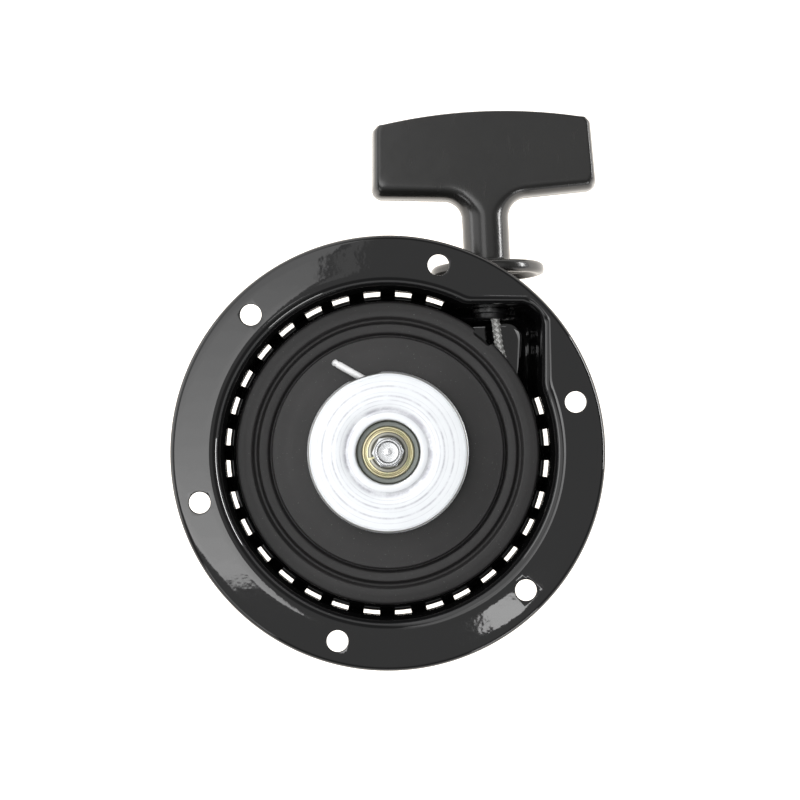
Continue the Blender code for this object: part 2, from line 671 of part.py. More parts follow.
def main():
    clear_scene()
    paint = make_material("black_paint", (0.012, 0.012, 0.013), 0.28, 0.0)
    plastic = make_material("black_nylon", (0.022, 0.022, 0.023), 0.55, 0.0)
    grip_plastic = make_material("grip_plastic", (0.018, 0.017, 0.017), 0.38, 0.0)
    zinc = make_material("bright_zinc", (0.78, 0.79, 0.80), 0.32, 1.0)
    yellow_zinc = make_material("yellow_zinc", (0.62, 0.55, 0.33), 0.36, 1.0)
    steel = make_material("plain_steel", (0.56, 0.56, 0.57), 0.30, 1.0)
    spring_steel = make_material("spring_steel", (0.22, 0.24, 0.28), 0.35, 1.0)
    bronze = make_material("sintered_bronze", (0.50, 0.34, 0.16), 0.50, 1.0)
    guide_plastic = make_material("guide_nylon", (0.030, 0.030, 0.031), 0.45, 0.0)
    rope = make_material("rope_braid", (0.62, 0.62, 0.60), 0.85, 0.0)

    make_housing(paint)
    make_rope_guide(guide_plastic)
    make_center_post(steel)
    make_washer("reel_washer", SHAFT_RADIUS + GAP, REEL_WASHER_RADIUS, ANCHOR_TOP + GAP,
                REEL_WASHER_THICK, steel)
    make_friction_spring(spring_steel)
    thrust = SPIGOT_TOP + GAP
    make_washer("thrust_washer", WASHER_BORE, THRUST_WASHER_RADIUS, thrust, THRUST_WASHER_THICK,
                yellow_zinc)
    lock = thrust + THRUST_WASHER_THICK + GAP
    make_lock_washer(zinc, lock)
    make_center_bolt(zinc, lock + LOCK_WASHER_THICK + GAP)

    make_reel(plastic)
    make_reel_bush(bronze)
    make_washer("spring_keeper", KEEPER_INNER, REEL_SKIRT_RADIUS - 0.0002,
                REEL_SKIRT_BOTTOM - GAP - KEEPER_THICK, KEEPER_THICK, zinc, ROUND)
    make_power_spring(spring_steel)
    make_rope_wound(rope)
    knot = Vector((math.cos(knot_angle()), math.sin(knot_angle()), 0)) * KNOT_CIRCLE
    knot.z = REAR_FLANGE_BOTTOM - GAP - KNOT_RADIUS
    start_z = WRAP_END_Z - WRAP_PITCH * WRAP_TURNS - ROPE_RADIUS
    make_knot("rope_knot_reel", rope, knot, stub=start_z - GAP)

    make_friction_plate(zinc)
    make_pawl(steel)
    make_pawl_spring(spring_steel)

    grip_axis = bpy.data.objects.new("grip_axis", None)
    grip_axis.location = GRIP_FOOT
    grip_axis.rotation_euler.z = GRIP_TILT
    bpy.context.collection.objects.link(grip_axis)
    make_handle_grip(grip_plastic, grip_axis)
    make_handle_washer(steel, grip_axis)
    make_rope_lead(rope)
    make_knot("rope_knot_handle", rope, grip_point(KNOT_ROOM_BOTTOM + 0.0022 + KNOT_RADIUS))


main()
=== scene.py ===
"""Looks of the recoil starter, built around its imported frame. Metres, +Z towards the engine."""

from math import (asin, atan2, ceil, cos, degrees, exp, hypot, pi, radians, sin, sqrt, tan, tau)

import bmesh
import bpy
import numpy as np
from mathutils import Matrix, Vector


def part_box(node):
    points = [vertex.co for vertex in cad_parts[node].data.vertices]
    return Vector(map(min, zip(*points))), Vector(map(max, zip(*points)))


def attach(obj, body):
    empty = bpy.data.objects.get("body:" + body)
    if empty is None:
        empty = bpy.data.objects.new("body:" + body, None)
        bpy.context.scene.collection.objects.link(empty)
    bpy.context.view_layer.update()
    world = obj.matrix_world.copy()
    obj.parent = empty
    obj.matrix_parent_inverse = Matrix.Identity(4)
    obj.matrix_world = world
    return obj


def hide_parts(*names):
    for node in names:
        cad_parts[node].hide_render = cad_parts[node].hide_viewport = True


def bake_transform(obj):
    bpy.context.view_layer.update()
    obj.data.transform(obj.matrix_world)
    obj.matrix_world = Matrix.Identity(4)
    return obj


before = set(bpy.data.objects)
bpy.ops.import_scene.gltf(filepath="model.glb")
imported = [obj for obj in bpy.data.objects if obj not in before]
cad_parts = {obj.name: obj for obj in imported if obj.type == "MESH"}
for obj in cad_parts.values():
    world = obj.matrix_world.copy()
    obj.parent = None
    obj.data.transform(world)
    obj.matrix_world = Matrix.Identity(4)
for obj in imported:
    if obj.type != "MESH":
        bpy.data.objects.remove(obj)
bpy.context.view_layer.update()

# Housing, as in the part
SHEET = 0.0015
FLANGE_TOP = 0.057
FLANGE_RADIUS = 0.092
FLANGE_ROLL = 0.0023
CUP_RADIUS = 0.071
CUP_BEND = 0.0045
CUP_FILLET = 0.008
POCKET_RIGHT = 0.0653
POCKET_TOP = 0.063
POCKET_CORNER = 0.008
POCKET_BLEND = 0.0012
HOLE_RADIUS = 0.0045
HOLE_CIRCLE = 0.082
HOLE_COUNT = 6
HOLE_START = radians(15)
SLOT_WIDTH = 0.0071
SLOT_PITCH = 0.014
SLOTS_IN_GROUP = 4
SLOT_BOTTOM = 0.0044
SLOT_TOP = 0.0218
SLOT_GROUPS = [radians(45 * k) for k in range(8) if k != 1]

# Centre
SPIGOT_RADIUS = 0.006
THRUST_BOTTOM = 0.0477
THRUST_TOP = 0.0492
LOCK_BOTTOM = 0.0495
LOCK_TOP = 0.0507
HEAD_BOTTOM = 0.0510
HEAD_TOP = 0.0558
HEAD_ACROSS_FLATS = 0.012
PLATE_RADIUS = 0.0344
PLATE_TOP = 0.052
PLATE_SHEET = 0.0016
PLATE_HOLE = 0.0136
PLATE_SKIRT_BOTTOM = 0.0418
PLATE_DISH_TOP = 0.0474
PLATE_WINDOW = (radians(95), radians(119))
PLATE_WINDOW_TOP = 0.0455
# Turning lines on the plate: radius, half width, strength
PLATE_LINES = [
    (0.0183, 0.0015, 0.75), (0.0171, 0.0004, 0.50), (0.0205, 0.0003, 0.40), (0.0222, 0.0004, 0.40),
    (0.0240, 0.0006, 0.65), (0.0256, 0.0002, 0.30), (0.0281, 0.0006, 0.60), (0.0303, 0.0002, 0.35),
]

# Reel
BUSH_RADIUS = 0.011
REEL_RADIUS = 0.0657
REEL_LAND_TOP = 0.037
REEL_BEAD_TOP = 0.038
REEL_PLATEAU_TOP = 0.041
REEL_PLATEAU_RADIUS = 0.0498
REEL_BOSS_RADIUS = 0.0145
REEL_BOSS_TOP = 0.044
REEL_SKIRT_RADIUS = 0.049
REEL_SKIRT_BOTTOM = 0.0048
CAVITY_RADIUS = 0.0455
CAVITY_TOP = 0.0173
GROOVE_FLOOR = 0.0579
GROOVE_BOTTOM = 0.0211
GROOVE_TOP = 0.0341
REAR_FLANGE_BOTTOM = 0.0192
NOTCH_ANGLE = radians(50.5)
NOTCH_WIDTH = 0.0085
NOTCH_FLOOR = 0.0631
NOTCH_BOTTOM = 0.0330

# Power spring
SPRING_BOTTOM = 0.0053
SPRING_TOP = 0.0160
SPRING_THICK = 0.0006
SPRING_INNER = 0.0117
SPRING_OUTER = 0.0446
SPRING_TURNS = 7
SPRING_STEPS = 72

# Rope
ROPE_RADIUS = 0.0019
WOUND_RADIUS = 0.0017
WRAP_RADIUS = 0.0605
WRAP_PITCH = 0.0041
WRAP_TURNS = 2.1
WRAP_END = radians(15.3)
WRAP_END_Z = 0.0319
KNOT_ROPE_RADIUS = 0.00165
ROPE_HOLE_RADIUS = 0.0026
ROPE_HOLE_CIRCLE = 0.0616

# Pawl
PAWL_RADIUS = 0.0015
PAWL_LENGTH = 0.036
PAWL_ANGLE = radians(150.6)
PAWL_PIVOT = Vector((0.0075, 0.0214, 0.0430))
PAWL_LEG = 0.010
PAWL_BORE = 0.0018
PAWL_SPRING_ROOM = 0.0046
PAWL_SPRING_ROOM_BOTTOM = 0.0385
PAWL_SPRING_ROOM_TOP = 0.0420
PAWL_SPRING_RADIUS = 0.0032
PAWL_SPRING_WIRE = 0.0003
PAWL_SPRING_TURNS = 2

# Grip, in its own frame: +Y along the pull, origin at the centre of its foot
GRIP_FOOT = Vector((0.0440, 0.0771, 0.028))
GRIP_TILT = radians(2.6)
GRIP_FOOT_RADIUS = 0.0247
GRIP_FOOT_THICK = 0.0052
GRIP_STEM_RADIUS = 0.0101
GRIP_HALF_DEPTH = 0.0097
GRIP_HALF_WIDTH = 0.0494
GRIP_TOP = 0.0727
GRIP_BORE = 0.0026
GRIP_CORNER_Y = 0.0672
GRIP_END_CURL = 0.0028
GRIP_CROWN_CURL = 0.0016
KNOT_ROOM_RADIUS = 0.0062
KNOT_ROOM_BOTTOM = 0.038
KNOT_RADIUS = 0.0042
GUIDE_CENTRE = Vector((0.0452, POCKET_TOP, 0.028))
GUIDE_BORE = 0.0033

# Studio: rings of the world by height, the window's side, soft boxes at the sides
WORLD_RINGS = [(0.0, 0.55), (0.30, 0.55), (0.42, 0.10), (0.78, 0.10), (0.90, 0.36), (1.0, 0.36)]
WINDOW_WAY = (-0.85, 0.53, 0.0)
WINDOW_EDGE = (0.42, 0.62)
WINDOW_LIGHT = 0.85
LEFT_BOX = (-0.46, -0.06)
LEFT_BOX_ENDS = (-0.123, 0.190)
LEFT_STRIPS = 14
CEILING_HEIGHT = 1.0
CEILING_LIGHTS = [
    ("left_box_far", (-0.46, 0.190), (-0.06, 0.800), 1.6),
    ("gap_strip", (-0.046, 0.12), (-0.023, 0.60), 0.5),
    ("small_box", (0.096, -0.172), (0.152, -0.134), 7.6),
]
SIDE_LIGHTS = [
    ("right_strip", (1.10, 0.28, 0.40), (0.75, 0.14), 26.0),
    ("front_strip", (0.60, -0.90, 0.45), (0.40, 0.16), 9.0),
    ("left_wall", (-1.10, 0.20, 0.30), (1.20, 0.30), 2.4),
    ("low_fill", (-0.75, -0.75, 0.95), (0.50, 0.35), 4.0),
]
CAMERA_PLACE = Vector((-0.0040, -0.0044, FLANGE_TOP + 0.740))
CAMERA_TARGET = Vector((0.0050, 0.0220, FLANGE_TOP))
FRAME_WIDTH = 0.3373

TO_GRIP = Matrix.Translation(GRIP_FOOT) @ Matrix.Rotation(GRIP_TILT, 4, "Z")
ALONG_Y = Matrix.Rotation(radians(-90), 4, "X")


# Mesh tools

def arc(centre, radius, start, end, steps):
    """Points (r, z) on an arc from start to end, in degrees."""
    angles = [radians(start + (end - start) * k / steps) for k in range(steps + 1)]
    return [(centre[0] + radius * cos(a), centre[1] + radius * sin(a)) for a in angles]


def rounded(corners, closed=True, steps=5):
    """A path of (r, z) through corners given as (r, z) or (r, z, fillet)."""
    path = []
    count = len(corners)
    for k, corner in enumerate(corners):
        at = Vector(corner[:2])
        if len(corner) < 3 or (not closed and k in (0, count - 1)):
            path.append(tuple(at))
            continue
        back = (Vector(corners[k - 1][:2]) - at).normalized()
        ahead = (Vector(corners[(k + 1) % count][:2]) - at).normalized()
        half = back.angle(ahead) / 2
        centre = at + (back + ahead).normalized() * corner[2] / sin(half)
        start = at + back * corner[2] / tan(half) - centre
        end = at + ahead * corner[2] / tan(half) - centre
        first = degrees(atan2(start.y, start.x))
        swept = (degrees(atan2(end.y, end.x)) - first + 180) % 360 - 180
        path += arc(centre, corner[2], first, first + swept, steps)
    return path


def polar(radius, angle, z=0.0):
    """A point at a radius and an angle about Z."""
    return Vector((radius * cos(angle), radius * sin(angle), z))


def add_face(bm, verts):
    """A face through four vertices, or through three where two are the same."""
    return bm.faces.new(list(dict.fromkeys(verts)))


def turned_mesh(path, segments, closed=True):
    """A bmesh turned about Z; a path that isn't closed starts and ends on the axis."""
    bm = bmesh.new()
    columns = []
    poles = {}
    for k in range(segments):
        angle = tau * k / segments
        column = []
        for j, (r, z) in enumerate(path):
            if r < 1e-7:
                if j not in poles:
                    poles[j] = bm.verts.new((0, 0, z))
                column.append(poles[j])
            else:
                column.append(bm.verts.new(polar(r, angle, z)))
        columns.append(column)
    last = len(path) if closed else len(path) - 1
    for column, after in zip(columns, columns[1:] + columns[:1]):
        for j in range(last):
            i = (j + 1) % len(path)
            add_face(bm, (column[j], column[i], after[i], after[j]))
    return bm


def turned(corners, segments, closed=True, steps=5):
    """A bmesh turned about Z from corners, given as rounded() takes them."""
    return turned_mesh(rounded(corners, closed, steps), segments, closed)


def shade(thing, smooth=35):
    thing.data.shade_smooth()
    thing.data.set_sharp_from_angle(angle=radians(smooth))


def add_piece(name, bm, material, smooth=35):
    bmesh.ops.recalc_face_normals(bm, faces=bm.faces)
    mesh = bpy.data.meshes.new(name)
    bm.to_mesh(mesh)
    bm.free()
    thing = bpy.data.objects.new(name, mesh)
    bpy.context.collection.objects.link(thing)
    if material is not None:
        mesh.materials.append(material)
    shade(thing, smooth)
    return thing


def carve(target, bm, operation="DIFFERENCE", smooth=35):
    """Cuts a closed shape out of the target, or joins it on, for good."""
    cutter = add_piece("cutter", bm, None)
    boolean = target.modifiers.new("carve", "BOOLEAN")
    boolean.operation = operation
    boolean.object = cutter
    boolean.solver = "EXACT"
    depsgraph = bpy.context.evaluated_depsgraph_get()
    mesh = bpy.data.meshes.new_from_object(target.evaluated_get(depsgraph))
    target.modifiers.clear()
    target.data = mesh
    bpy.data.objects.remove(cutter, do_unlink=True)
    shade(target, smooth)


def join(target, source):
    """Adds one bmesh's bodies to another's, and frees the first."""
    bmesh.ops.recalc_face_normals(source, faces=source.faces)
    mesh = bpy.data.meshes.new("scratch")
    source.to_mesh(mesh)
    source.free()
    target.from_mesh(mesh)
    bpy.data.meshes.remove(mesh)


def swing_out(bm, radius, angle):
    """Moves a shape out from the axis, at an angle."""
    bm.transform(Matrix.Translation((radius, 0, 0)))
    bm.transform(Matrix.Rotation(angle, 4, "Z"))


def prism(outline, bottom, top):
    """A straight-sided block from a flat outline of (x, y) points."""
    bm = bmesh.new()
    base = bm.faces.new([bm.verts.new((x, y, bottom)) for x, y in outline])
    grown = bmesh.ops.extrude_face_region(bm, geom=[base])["geom"]
    bmesh.ops.translate(bm, vec=(0, 0, top - bottom),
                        verts=[v for v in grown if isinstance(v, bmesh.types.BMVert)])
    return bm


def smooth_path(points, spacing):
    """Points along a Catmull-Rom curve through the given ones, about a spacing apart."""
    ends = [points[0] * 2 - points[1], *points, points[-1] * 2 - points[-2]]
    path = [points[0]]
    for a, b, c, d in zip(ends, ends[1:], ends[2:], ends[3:]):
        steps = max(1, round((c - b).length / spacing))
        for k in range(1, steps + 1):
            t = k / steps
            path.append(0.5 * (2 * b + (c - a) * t + (2 * a - 5 * b + 4 * c - d) * t * t
                               + (3 * b - a - 3 * c + d) * t ** 3))
    return path


def frames_along(path):
    """For each point of a path: the point, two directions across it, and how far along it is."""
    across = None
    travelled = 0.0
    found = []
    for k, point in enumerate(path):
        ahead = (path[min(k + 1, len(path) - 1)] - path[max(k - 1, 0)]).normalized()
        if across is None:
            across = ahead.orthogonal().normalized()
        else:
            travelled += (point - path[k - 1]).length
        across = (across - ahead * across.dot(ahead)).normalized()
        found.append((point, across.copy(), ahead.cross(across), travelled))
    return found


def add_tube(bm, rings, slot=0):
    """A closed tube through rings of points, in one of its piece's material slots."""
    loops = [[bm.verts.new(p) for p in ring] for ring in rings]
    faces = []
    for loop, after in zip(loops, loops[1:]):
        for k in range(len(loop)):
            j = (k + 1) % len(loop)
            faces.append(bm.faces.new((loop[k], loop[j], after[j], after[k])))
    faces += [bm.faces.new(loops[0]), bm.faces.new(loops[-1])]
    for face in faces:
        face.material_index = slot


def rod(path, radius_at, sides=24):
    """A round rod along a path; radius_at(share of its length) gives its radius."""
    bm = bmesh.new()
    rings = []
    stations = frames_along(path)
    total = stations[-1][3]
    for point, across, over, travelled in stations:
        r = radius_at(travelled / total)
        angles = [tau * k / sides for k in range(sides)]
        rings.append([point + across * r * cos(a) + over * r * sin(a) for a in angles])
    add_tube(bm, rings)
    return bm


# Material tools

class Nodes:
    """The node tree of a material or the world, with short ways to add and link nodes."""

    def __init__(self, owner, shader="Principled BSDF", place="Object"):
        self.owner = owner
        owner.use_nodes = True
        self.tree = owner.node_tree
        self.shader = self.tree.nodes[shader]
        self.place = self.add("ShaderNodeTexCoord").outputs[place]

    def add(self, kind, values=None, **settings):
        """Adds a node; values are constants or links for its inputs, by name or number."""
        node = self.tree.nodes.new(kind)
        for key, value in settings.items():
            setattr(node, key, value)
        for key, value in (values or {}).items():
            if isinstance(value, bpy.types.NodeSocket):
                self.tree.links.new(value, node.inputs[key])
            elif value is not None:
                node.inputs[key].default_value = value
        return node

    def drive(self, name, source):
        """Links a value to one of the shader's sockets."""
        self.tree.links.new(source, self.shader.inputs[name])

    def set(self, **values):
        """Sets the shader's own sockets, named with underscores for spaces."""
        for key, value in values.items():
            self.shader.inputs[key.replace("_", " ")].default_value = value

    def noise(self, scale, detail=3.0, rough=0.55, place=None, stretch=None):
        place = place or self.place
        if stretch:
            place = self.add("ShaderNodeMapping", {"Scale": stretch, "Vector": place}).outputs[0]
        values = {"Scale": scale, "Detail": detail, "Roughness": rough, "Vector": place}
        return self.add("ShaderNodeTexNoise", values).outputs["Fac"]

    def ramp(self, source, stops):
        """A colour ramp; stops are (position, value) with a grey value or an (r, g, b)."""
        node = self.add("ShaderNodeValToRGB", {"Fac": source})
        elements = node.color_ramp.elements
        while len(elements) < len(stops):
            elements.new(0.5)
        for element, (position, value) in zip(elements, stops):
            colour = value if isinstance(value, tuple) else (value, value, value)
            element.position = position
            element.color = (*colour, 1.0)
        return node.outputs["Color"]

    def mix(self, share, first, second, blend="MIX"):
        """A blend of two colours, each an (r, g, b) or a link."""
        first, second = ((*c, 1.0) if isinstance(c, tuple) else c for c in (first, second))
        values = {0: share, 6: first, 7: second}
        return self.add("ShaderNodeMix", values, data_type="RGBA", blend_type=blend).outputs[2]

    def math(self, operation, first, second=None, third=None):
        values = {0: first, 1: second, 2: third}
        return self.add("ShaderNodeMath", values, operation=operation).outputs[0]

    def times(self, first, second):
        return self.math("MULTIPLY", first, second)

    def minus(self, first, second):
        return self.math("SUBTRACT", first, second)

    def span(self, value, low, high, start=0.0, end=1.0):
        """Spreads a value that runs from start to end between low and high."""
        values = {"Value": value, "From Min": start, "From Max": end, "To Min": low, "To Max": high}
        return self.add("ShaderNodeMapRange", values).outputs["Result"]

    def bump(self, height, distance, normal=None):
        values = {"Strength": 1.0, "Distance": distance, "Height": height, "Normal": normal}
        return self.add("ShaderNodeBump", values).outputs["Normal"]

    def vector(self, x, y, z):
        return self.add("ShaderNodeCombineXYZ", {0: x, 1: y, 2: z}).outputs[0]

    def parts(self):
        """The coordinates, each on its own."""
        return self.add("ShaderNodeSeparateXYZ", {0: self.place}).outputs

    def radius(self):
        """Distance from the object's Z axis, and the height along it."""
        x, y, z = self.parts()
        across = self.math("MULTIPLY", x, x)
        return self.math("SQRT", self.math("MULTIPLY_ADD", y, y, across)), z

    def colour(self, share, dark, light):
        """Links the base colour to a blend of two colours."""
        self.drive("Base Color", self.mix(share, dark, light))

    def rough(self, share, low, high):
        """Links the roughness to a spread between two values."""
        self.drive("Roughness", self.span(share, low, high))


def paint_material():
    """Gloss black stoved paint on pressed sheet: slow waves, a fine orange peel, a little dust."""
    nodes = Nodes(bpy.data.materials.new("black_paint"))
    cloud = nodes.noise(28, 4)
    dust = nodes.ramp(nodes.noise(900, 2, 0.6), [(0.70, 0.0), (0.80, 1.0)])
    dust = nodes.times(dust, nodes.ramp(nodes.noise(60, 3), [(0.45, 0.0), (0.75, 0.5)]))
    base = nodes.mix(cloud, (0.0035, 0.0036, 0.0038), (0.0060, 0.0060, 0.0062))
    nodes.colour(dust, base, (0.04, 0.04, 0.039))
    nodes.rough(nodes.noise(110, 5, 0.6), 0.02, 0.06)
    waves = nodes.bump(nodes.noise(38, 1), 0.00005)
    patchy = nodes.ramp(nodes.noise(16, 2), [(0.40, 0.25), (0.62, 1.0)])
    ripple = nodes.times(nodes.noise(230, 2), patchy)
    peel = nodes.bump(ripple, 0.000022, waves)
    nodes.drive("Normal", peel)
    return nodes.owner


def nylon_material():
    """Black moulded nylon: faint flow marks around the axis, a fine grain, light specks."""
    nodes = Nodes(bpy.data.materials.new("black_nylon"))
    radius, z = nodes.radius()
    turn = nodes.vector(nodes.times(radius, 9.0), z, 0.0)
    flow = nodes.noise(40, 3, place=turn)
    mottle = nodes.noise(70, 5, 0.6)
    specks = nodes.ramp(nodes.noise(1500, 1), [(0.735, 0.0), (0.78, 1.0)])
    base = nodes.mix(mottle, (0.0220, 0.0214, 0.0216), (0.0340, 0.0326, 0.0328))
    nodes.colour(nodes.times(specks, 0.35), base, (0.22, 0.22, 0.21))
    nodes.rough(flow, 0.38, 0.58)
    grain = nodes.bump(nodes.noise(2200, 3, 0.6), 0.000014)
    nodes.drive("Normal", nodes.bump(flow, 0.00006, grain))
    nodes.set(Specular_IOR_Level=0.4)
    return nodes.owner


def grip_material():
    """Black satin moulding of the grip, with a fine spark-eroded grain and small scuffs."""
    nodes = Nodes(bpy.data.materials.new("grip_plastic"))
    mottle = nodes.noise(55, 5, 0.6)
    scuff = nodes.ramp(nodes.noise(300, 4, 0.7, stretch=(1, 0.15, 1)), [(0.62, 0.0), (0.75, 1.0)])
    base = nodes.mix(mottle, (0.0095, 0.0094, 0.0090), (0.0155, 0.0152, 0.0146))
    nodes.colour(nodes.times(scuff, 0.25), base, (0.055, 0.052, 0.05))
    nodes.rough(nodes.noise(160, 4), 0.16, 0.25)
    grain = nodes.bump(nodes.noise(1600, 2, 0.5), 0.000016)
    nodes.drive("Normal", nodes.bump(nodes.noise(60, 2), 0.00012, grain))
    return nodes.owner


def turned_metal(name, dark, light, rough, lines=(), dish=None, tint=None,
                 line_and_shade_colour=(0.30, 0.29, 0.34), rim=None, worn=True):
    """Plated metal with turning rings about its own axis and stronger lines by radius, which are
    turning lines on the plate and painted shade along the lock washer's and bolt head's edges;
    painted shade in a dish and a painted dark reflection on a rim.
    """
    nodes = Nodes(bpy.data.materials.new(name))
    radius, z = nodes.radius()
    line = nodes.vector(radius, nodes.times(z, 0.6), 0.0)
    fine = nodes.noise(2600, 4, 0.65, place=line)
    broad = nodes.noise(420, 3, 0.6, place=line)
    cloud = nodes.noise(90, 4, 0.6)
    share = nodes.math("MULTIPLY_ADD", cloud, 0.4, nodes.times(broad, 0.3))
    share = nodes.math("MULTIPLY_ADD", fine, 0.3, share)
    colour = nodes.mix(share, dark, light)
    if tint:
        hue = nodes.ramp(nodes.noise(140, 4, 0.6), list(zip((0.35, 0.5, 0.65), tint)))
        colour = nodes.mix(0.45, colour, hue)
    ragged = nodes.ramp(nodes.noise(130, 5, 0.75), [(0.38, 0.10), (0.60, 1.0)])
    # Dark lines by radius: turning lines on the plate; on the lock washer and bolt head, painted
    # shade along their edges.
    for at, half, depth in lines:
        off = nodes.math("ABSOLUTE", nodes.minus(radius, at))
        near = nodes.minus(1.0, nodes.math("DIVIDE", off, half))
        mark = nodes.math("MAXIMUM", near, 0.0)
        if worn:
            mark = nodes.times(mark, ragged)
        colour = nodes.mix(nodes.times(mark, depth), colour, line_and_shade_colour)
    # Painted shade: below the dish height the colour turns a dull grey-green, standing in for the
    # shade inside the plate's dish.
    if dish:
        dish_shade = nodes.ramp(nodes.times(nodes.minus(dish, z), 1200.0),
                          [(0.0, 0.0), (1.0, 1.0)])
        colour = nodes.mix(dish_shade, colour, (0.225, 0.240, 0.225))
    # Painted reflection: a dark band on the rim's roundover stands in for the dark surroundings
    # mirrored there.
    if rim:
        edge = nodes.ramp(nodes.times(nodes.minus(radius, rim), 1000.0),
                          [(0.0, 0.0), (0.25, 1.0), (0.65, 1.0), (0.85, 0.0)])
        colour = nodes.mix(nodes.times(edge, 0.85), colour, (0.17, 0.165, 0.15))
    nodes.drive("Base Color", colour)
    nodes.rough(fine, rough[0], rough[1])
    nodes.drive("Normal", nodes.bump(fine, 0.000012))
    nodes.set(Metallic=1.0)
    return nodes.owner


def steel_material(name, dark, light, rough, metallic=1.0):
    """Plain metal with small mottling and fine scratches."""
    nodes = Nodes(bpy.data.materials.new(name))
    nodes.colour(nodes.noise(240, 5, 0.6), dark, light)
    nodes.rough(nodes.noise(720, 4, 0.6), rough[0], rough[1])
    scratch = nodes.noise(900, 3, 0.7, stretch=(1.0, 1.0, 0.08))
    nodes.drive("Normal", nodes.bump(scratch, 0.000012))
    nodes.set(Metallic=metallic)
    return nodes.owner


def guide_material():
    nodes = Nodes(bpy.data.materials.new("guide_nylon"))
    nodes.colour(nodes.noise(150, 4), (0.004, 0.004, 0.0045), (0.009, 0.009, 0.009))
    nodes.rough(nodes.noise(400, 3), 0.28, 0.42)
    nodes.drive("Normal", nodes.bump(nodes.noise(1500, 2), 0.00002))
    return nodes.owner


def rope_material(name, dark, light):
    """Polyester yarn: fine fibres along the strands, a soft sheen, a little grime."""
    nodes = Nodes(bpy.data.materials.new(name))
    fibres = nodes.noise(5200, 3, 0.6)
    grime = nodes.ramp(nodes.noise(350, 4, 0.6), [(0.35, 0.84), (0.6, 1.0)])
    yarn = nodes.mix(fibres, dark, light)
    nodes.drive("Base Color", nodes.mix(1.0, yarn, grime, "MULTIPLY"))
    nodes.rough(fibres, 0.62, 0.85)
    nodes.drive("Normal", nodes.bump(fibres, 0.00006))
    nodes.set(Sheen_Weight=0.25, Sheen_Roughness=0.4)
    return nodes.owner


def floor_material():
    nodes = Nodes(bpy.data.materials.new("floor_white"))
    nodes.colour(nodes.noise(6, 3), (0.93, 0.93, 0.93), (0.95, 0.95, 0.95))
    nodes.set(Emission_Color=(1.0, 0.92, 0.82, 1.0), Emission_Strength=1.3)
    nodes.rough(nodes.noise(30, 2), 0.80, 0.90)
    nodes.set(Specular_IOR_Level=0.1)
    return nodes.owner


# Housing

def pocket_radius(angle):
    """Distance from the axis to the rope pocket's square-cornered wall, or 0 where it has none."""
    c, s = cos(angle), sin(angle)
    if c < 0.2 or s < 0.2:
        return 0.0
    r = min(POCKET_RIGHT / c, POCKET_TOP / s)
    cx, cy = POCKET_RIGHT - POCKET_CORNER, POCKET_TOP - POCKET_CORNER
    if r * c > cx and r * s > cy:
        along = cx * c + cy * s
        off = cx * cx + cy * cy - along * along
        r = along + sqrt(max(POCKET_CORNER ** 2 - off, 0.0))
    return r


def cup_radius(angle):
    """Inner radius of the cup's wall: round, with the rope pocket blended on."""
    pocket = pocket_radius(angle)
    overlap = max(POCKET_BLEND - abs(CUP_RADIUS - pocket), 0.0) / POCKET_BLEND
    return max(CUP_RADIUS, pocket) + POCKET_BLEND * overlap ** 2 / 4


def spread(start, end, steps):
    """Points between two (r, z), without the first."""
    return [tuple(Vector(start).lerp(Vector(end), k / steps)) for k in range(1, steps + 1)]


def housing_side(wall, bend, fillet, offset):
    """One face of the sheet, floor to flange, and the rows that its slots take."""
    corner = (wall - CUP_FILLET, SHEET + CUP_FILLET)
    floor = 0.0 if offset else SHEET
    low = degrees(asin((SLOT_BOTTOM - corner[1]) / fillet))
    half = (0.45 * CUP_RADIUS, floor)
    path = [(0.0, floor), half] + spread(half, (corner[0], floor), 3)
    path += arc(corner, fillet, -90, low, 4)[1:]
    first = len(path) - 1
    path += arc(corner, fillet, low, 0, 4)[1:]
    path += spread(path[-1], (wall + offset, SLOT_TOP), 6)
    last = len(path) - 1
    top = (wall + bend, FLANGE_TOP - bend)
    path += spread(path[-1], (wall + offset, top[1]), 3)
    path += arc(top, bend - offset, 180, 90, 10)[1:]
    path += spread(path[-1], (FLANGE_RADIUS - FLANGE_ROLL, FLANGE_TOP - offset), 5)
    return path, first, last


def housing_section(angle):
    """The sheet's inside, rolled rim and outside at one angle, and the slots' rows in each."""
    wall = cup_radius(angle)
    bend = min(CUP_BEND, FLANGE_RADIUS - FLANGE_ROLL - 0.0004 - wall)
    inside, first, last = housing_side(wall, bend, CUP_FILLET, 0.0)
    outside, low, high = housing_side(wall, bend, CUP_FILLET + SHEET, SHEET)
    rim = (FLANGE_RADIUS - FLANGE_ROLL, FLANGE_TOP - FLANGE_ROLL)
    inside += arc(rim, FLANGE_ROLL, 90, 0, 9)[1:]
    edge = (FLANGE_RADIUS - SHEET / 2, rim[1])
    inside += arc(edge, SHEET / 2, 0, -180, 6)[1:-1]
    inside += arc(rim, FLANGE_ROLL - SHEET, 0, 90, 5)[:-1]
    count = len(inside) + len(outside)
    return inside + outside[::-1], (first, last), (count - 1 - low, count - 1 - high)


def housing_columns():
    """Angles of the section, with True where a slot lies between one and the next."""
    edges = []
    for group in SLOT_GROUPS:
        for k in range(SLOTS_IN_GROUP):
            y = (k - (SLOTS_IN_GROUP - 1) / 2) * SLOT_PITCH
            start = group + asin((y - SLOT_WIDTH / 2) / CUP_RADIUS)
            end = group + asin((y + SLOT_WIDTH / 2) / CUP_RADIUS)
            edges.append((start, end))
    edges.sort()
    columns = []
    for k, (start, end) in enumerate(edges):
        after = edges[k + 1][0] if k + 1 < len(edges) else edges[0][0] + tau
        for low, high, slotted in ((start, end, True), (end, after, False)):
            step = radians(0.45 if high - low > 0.2 else 0.8)
            pieces = ceil((high - low) / step)
            columns += [(low + (high - low) * j / pieces, slotted) for j in range(pieces)]
    return columns


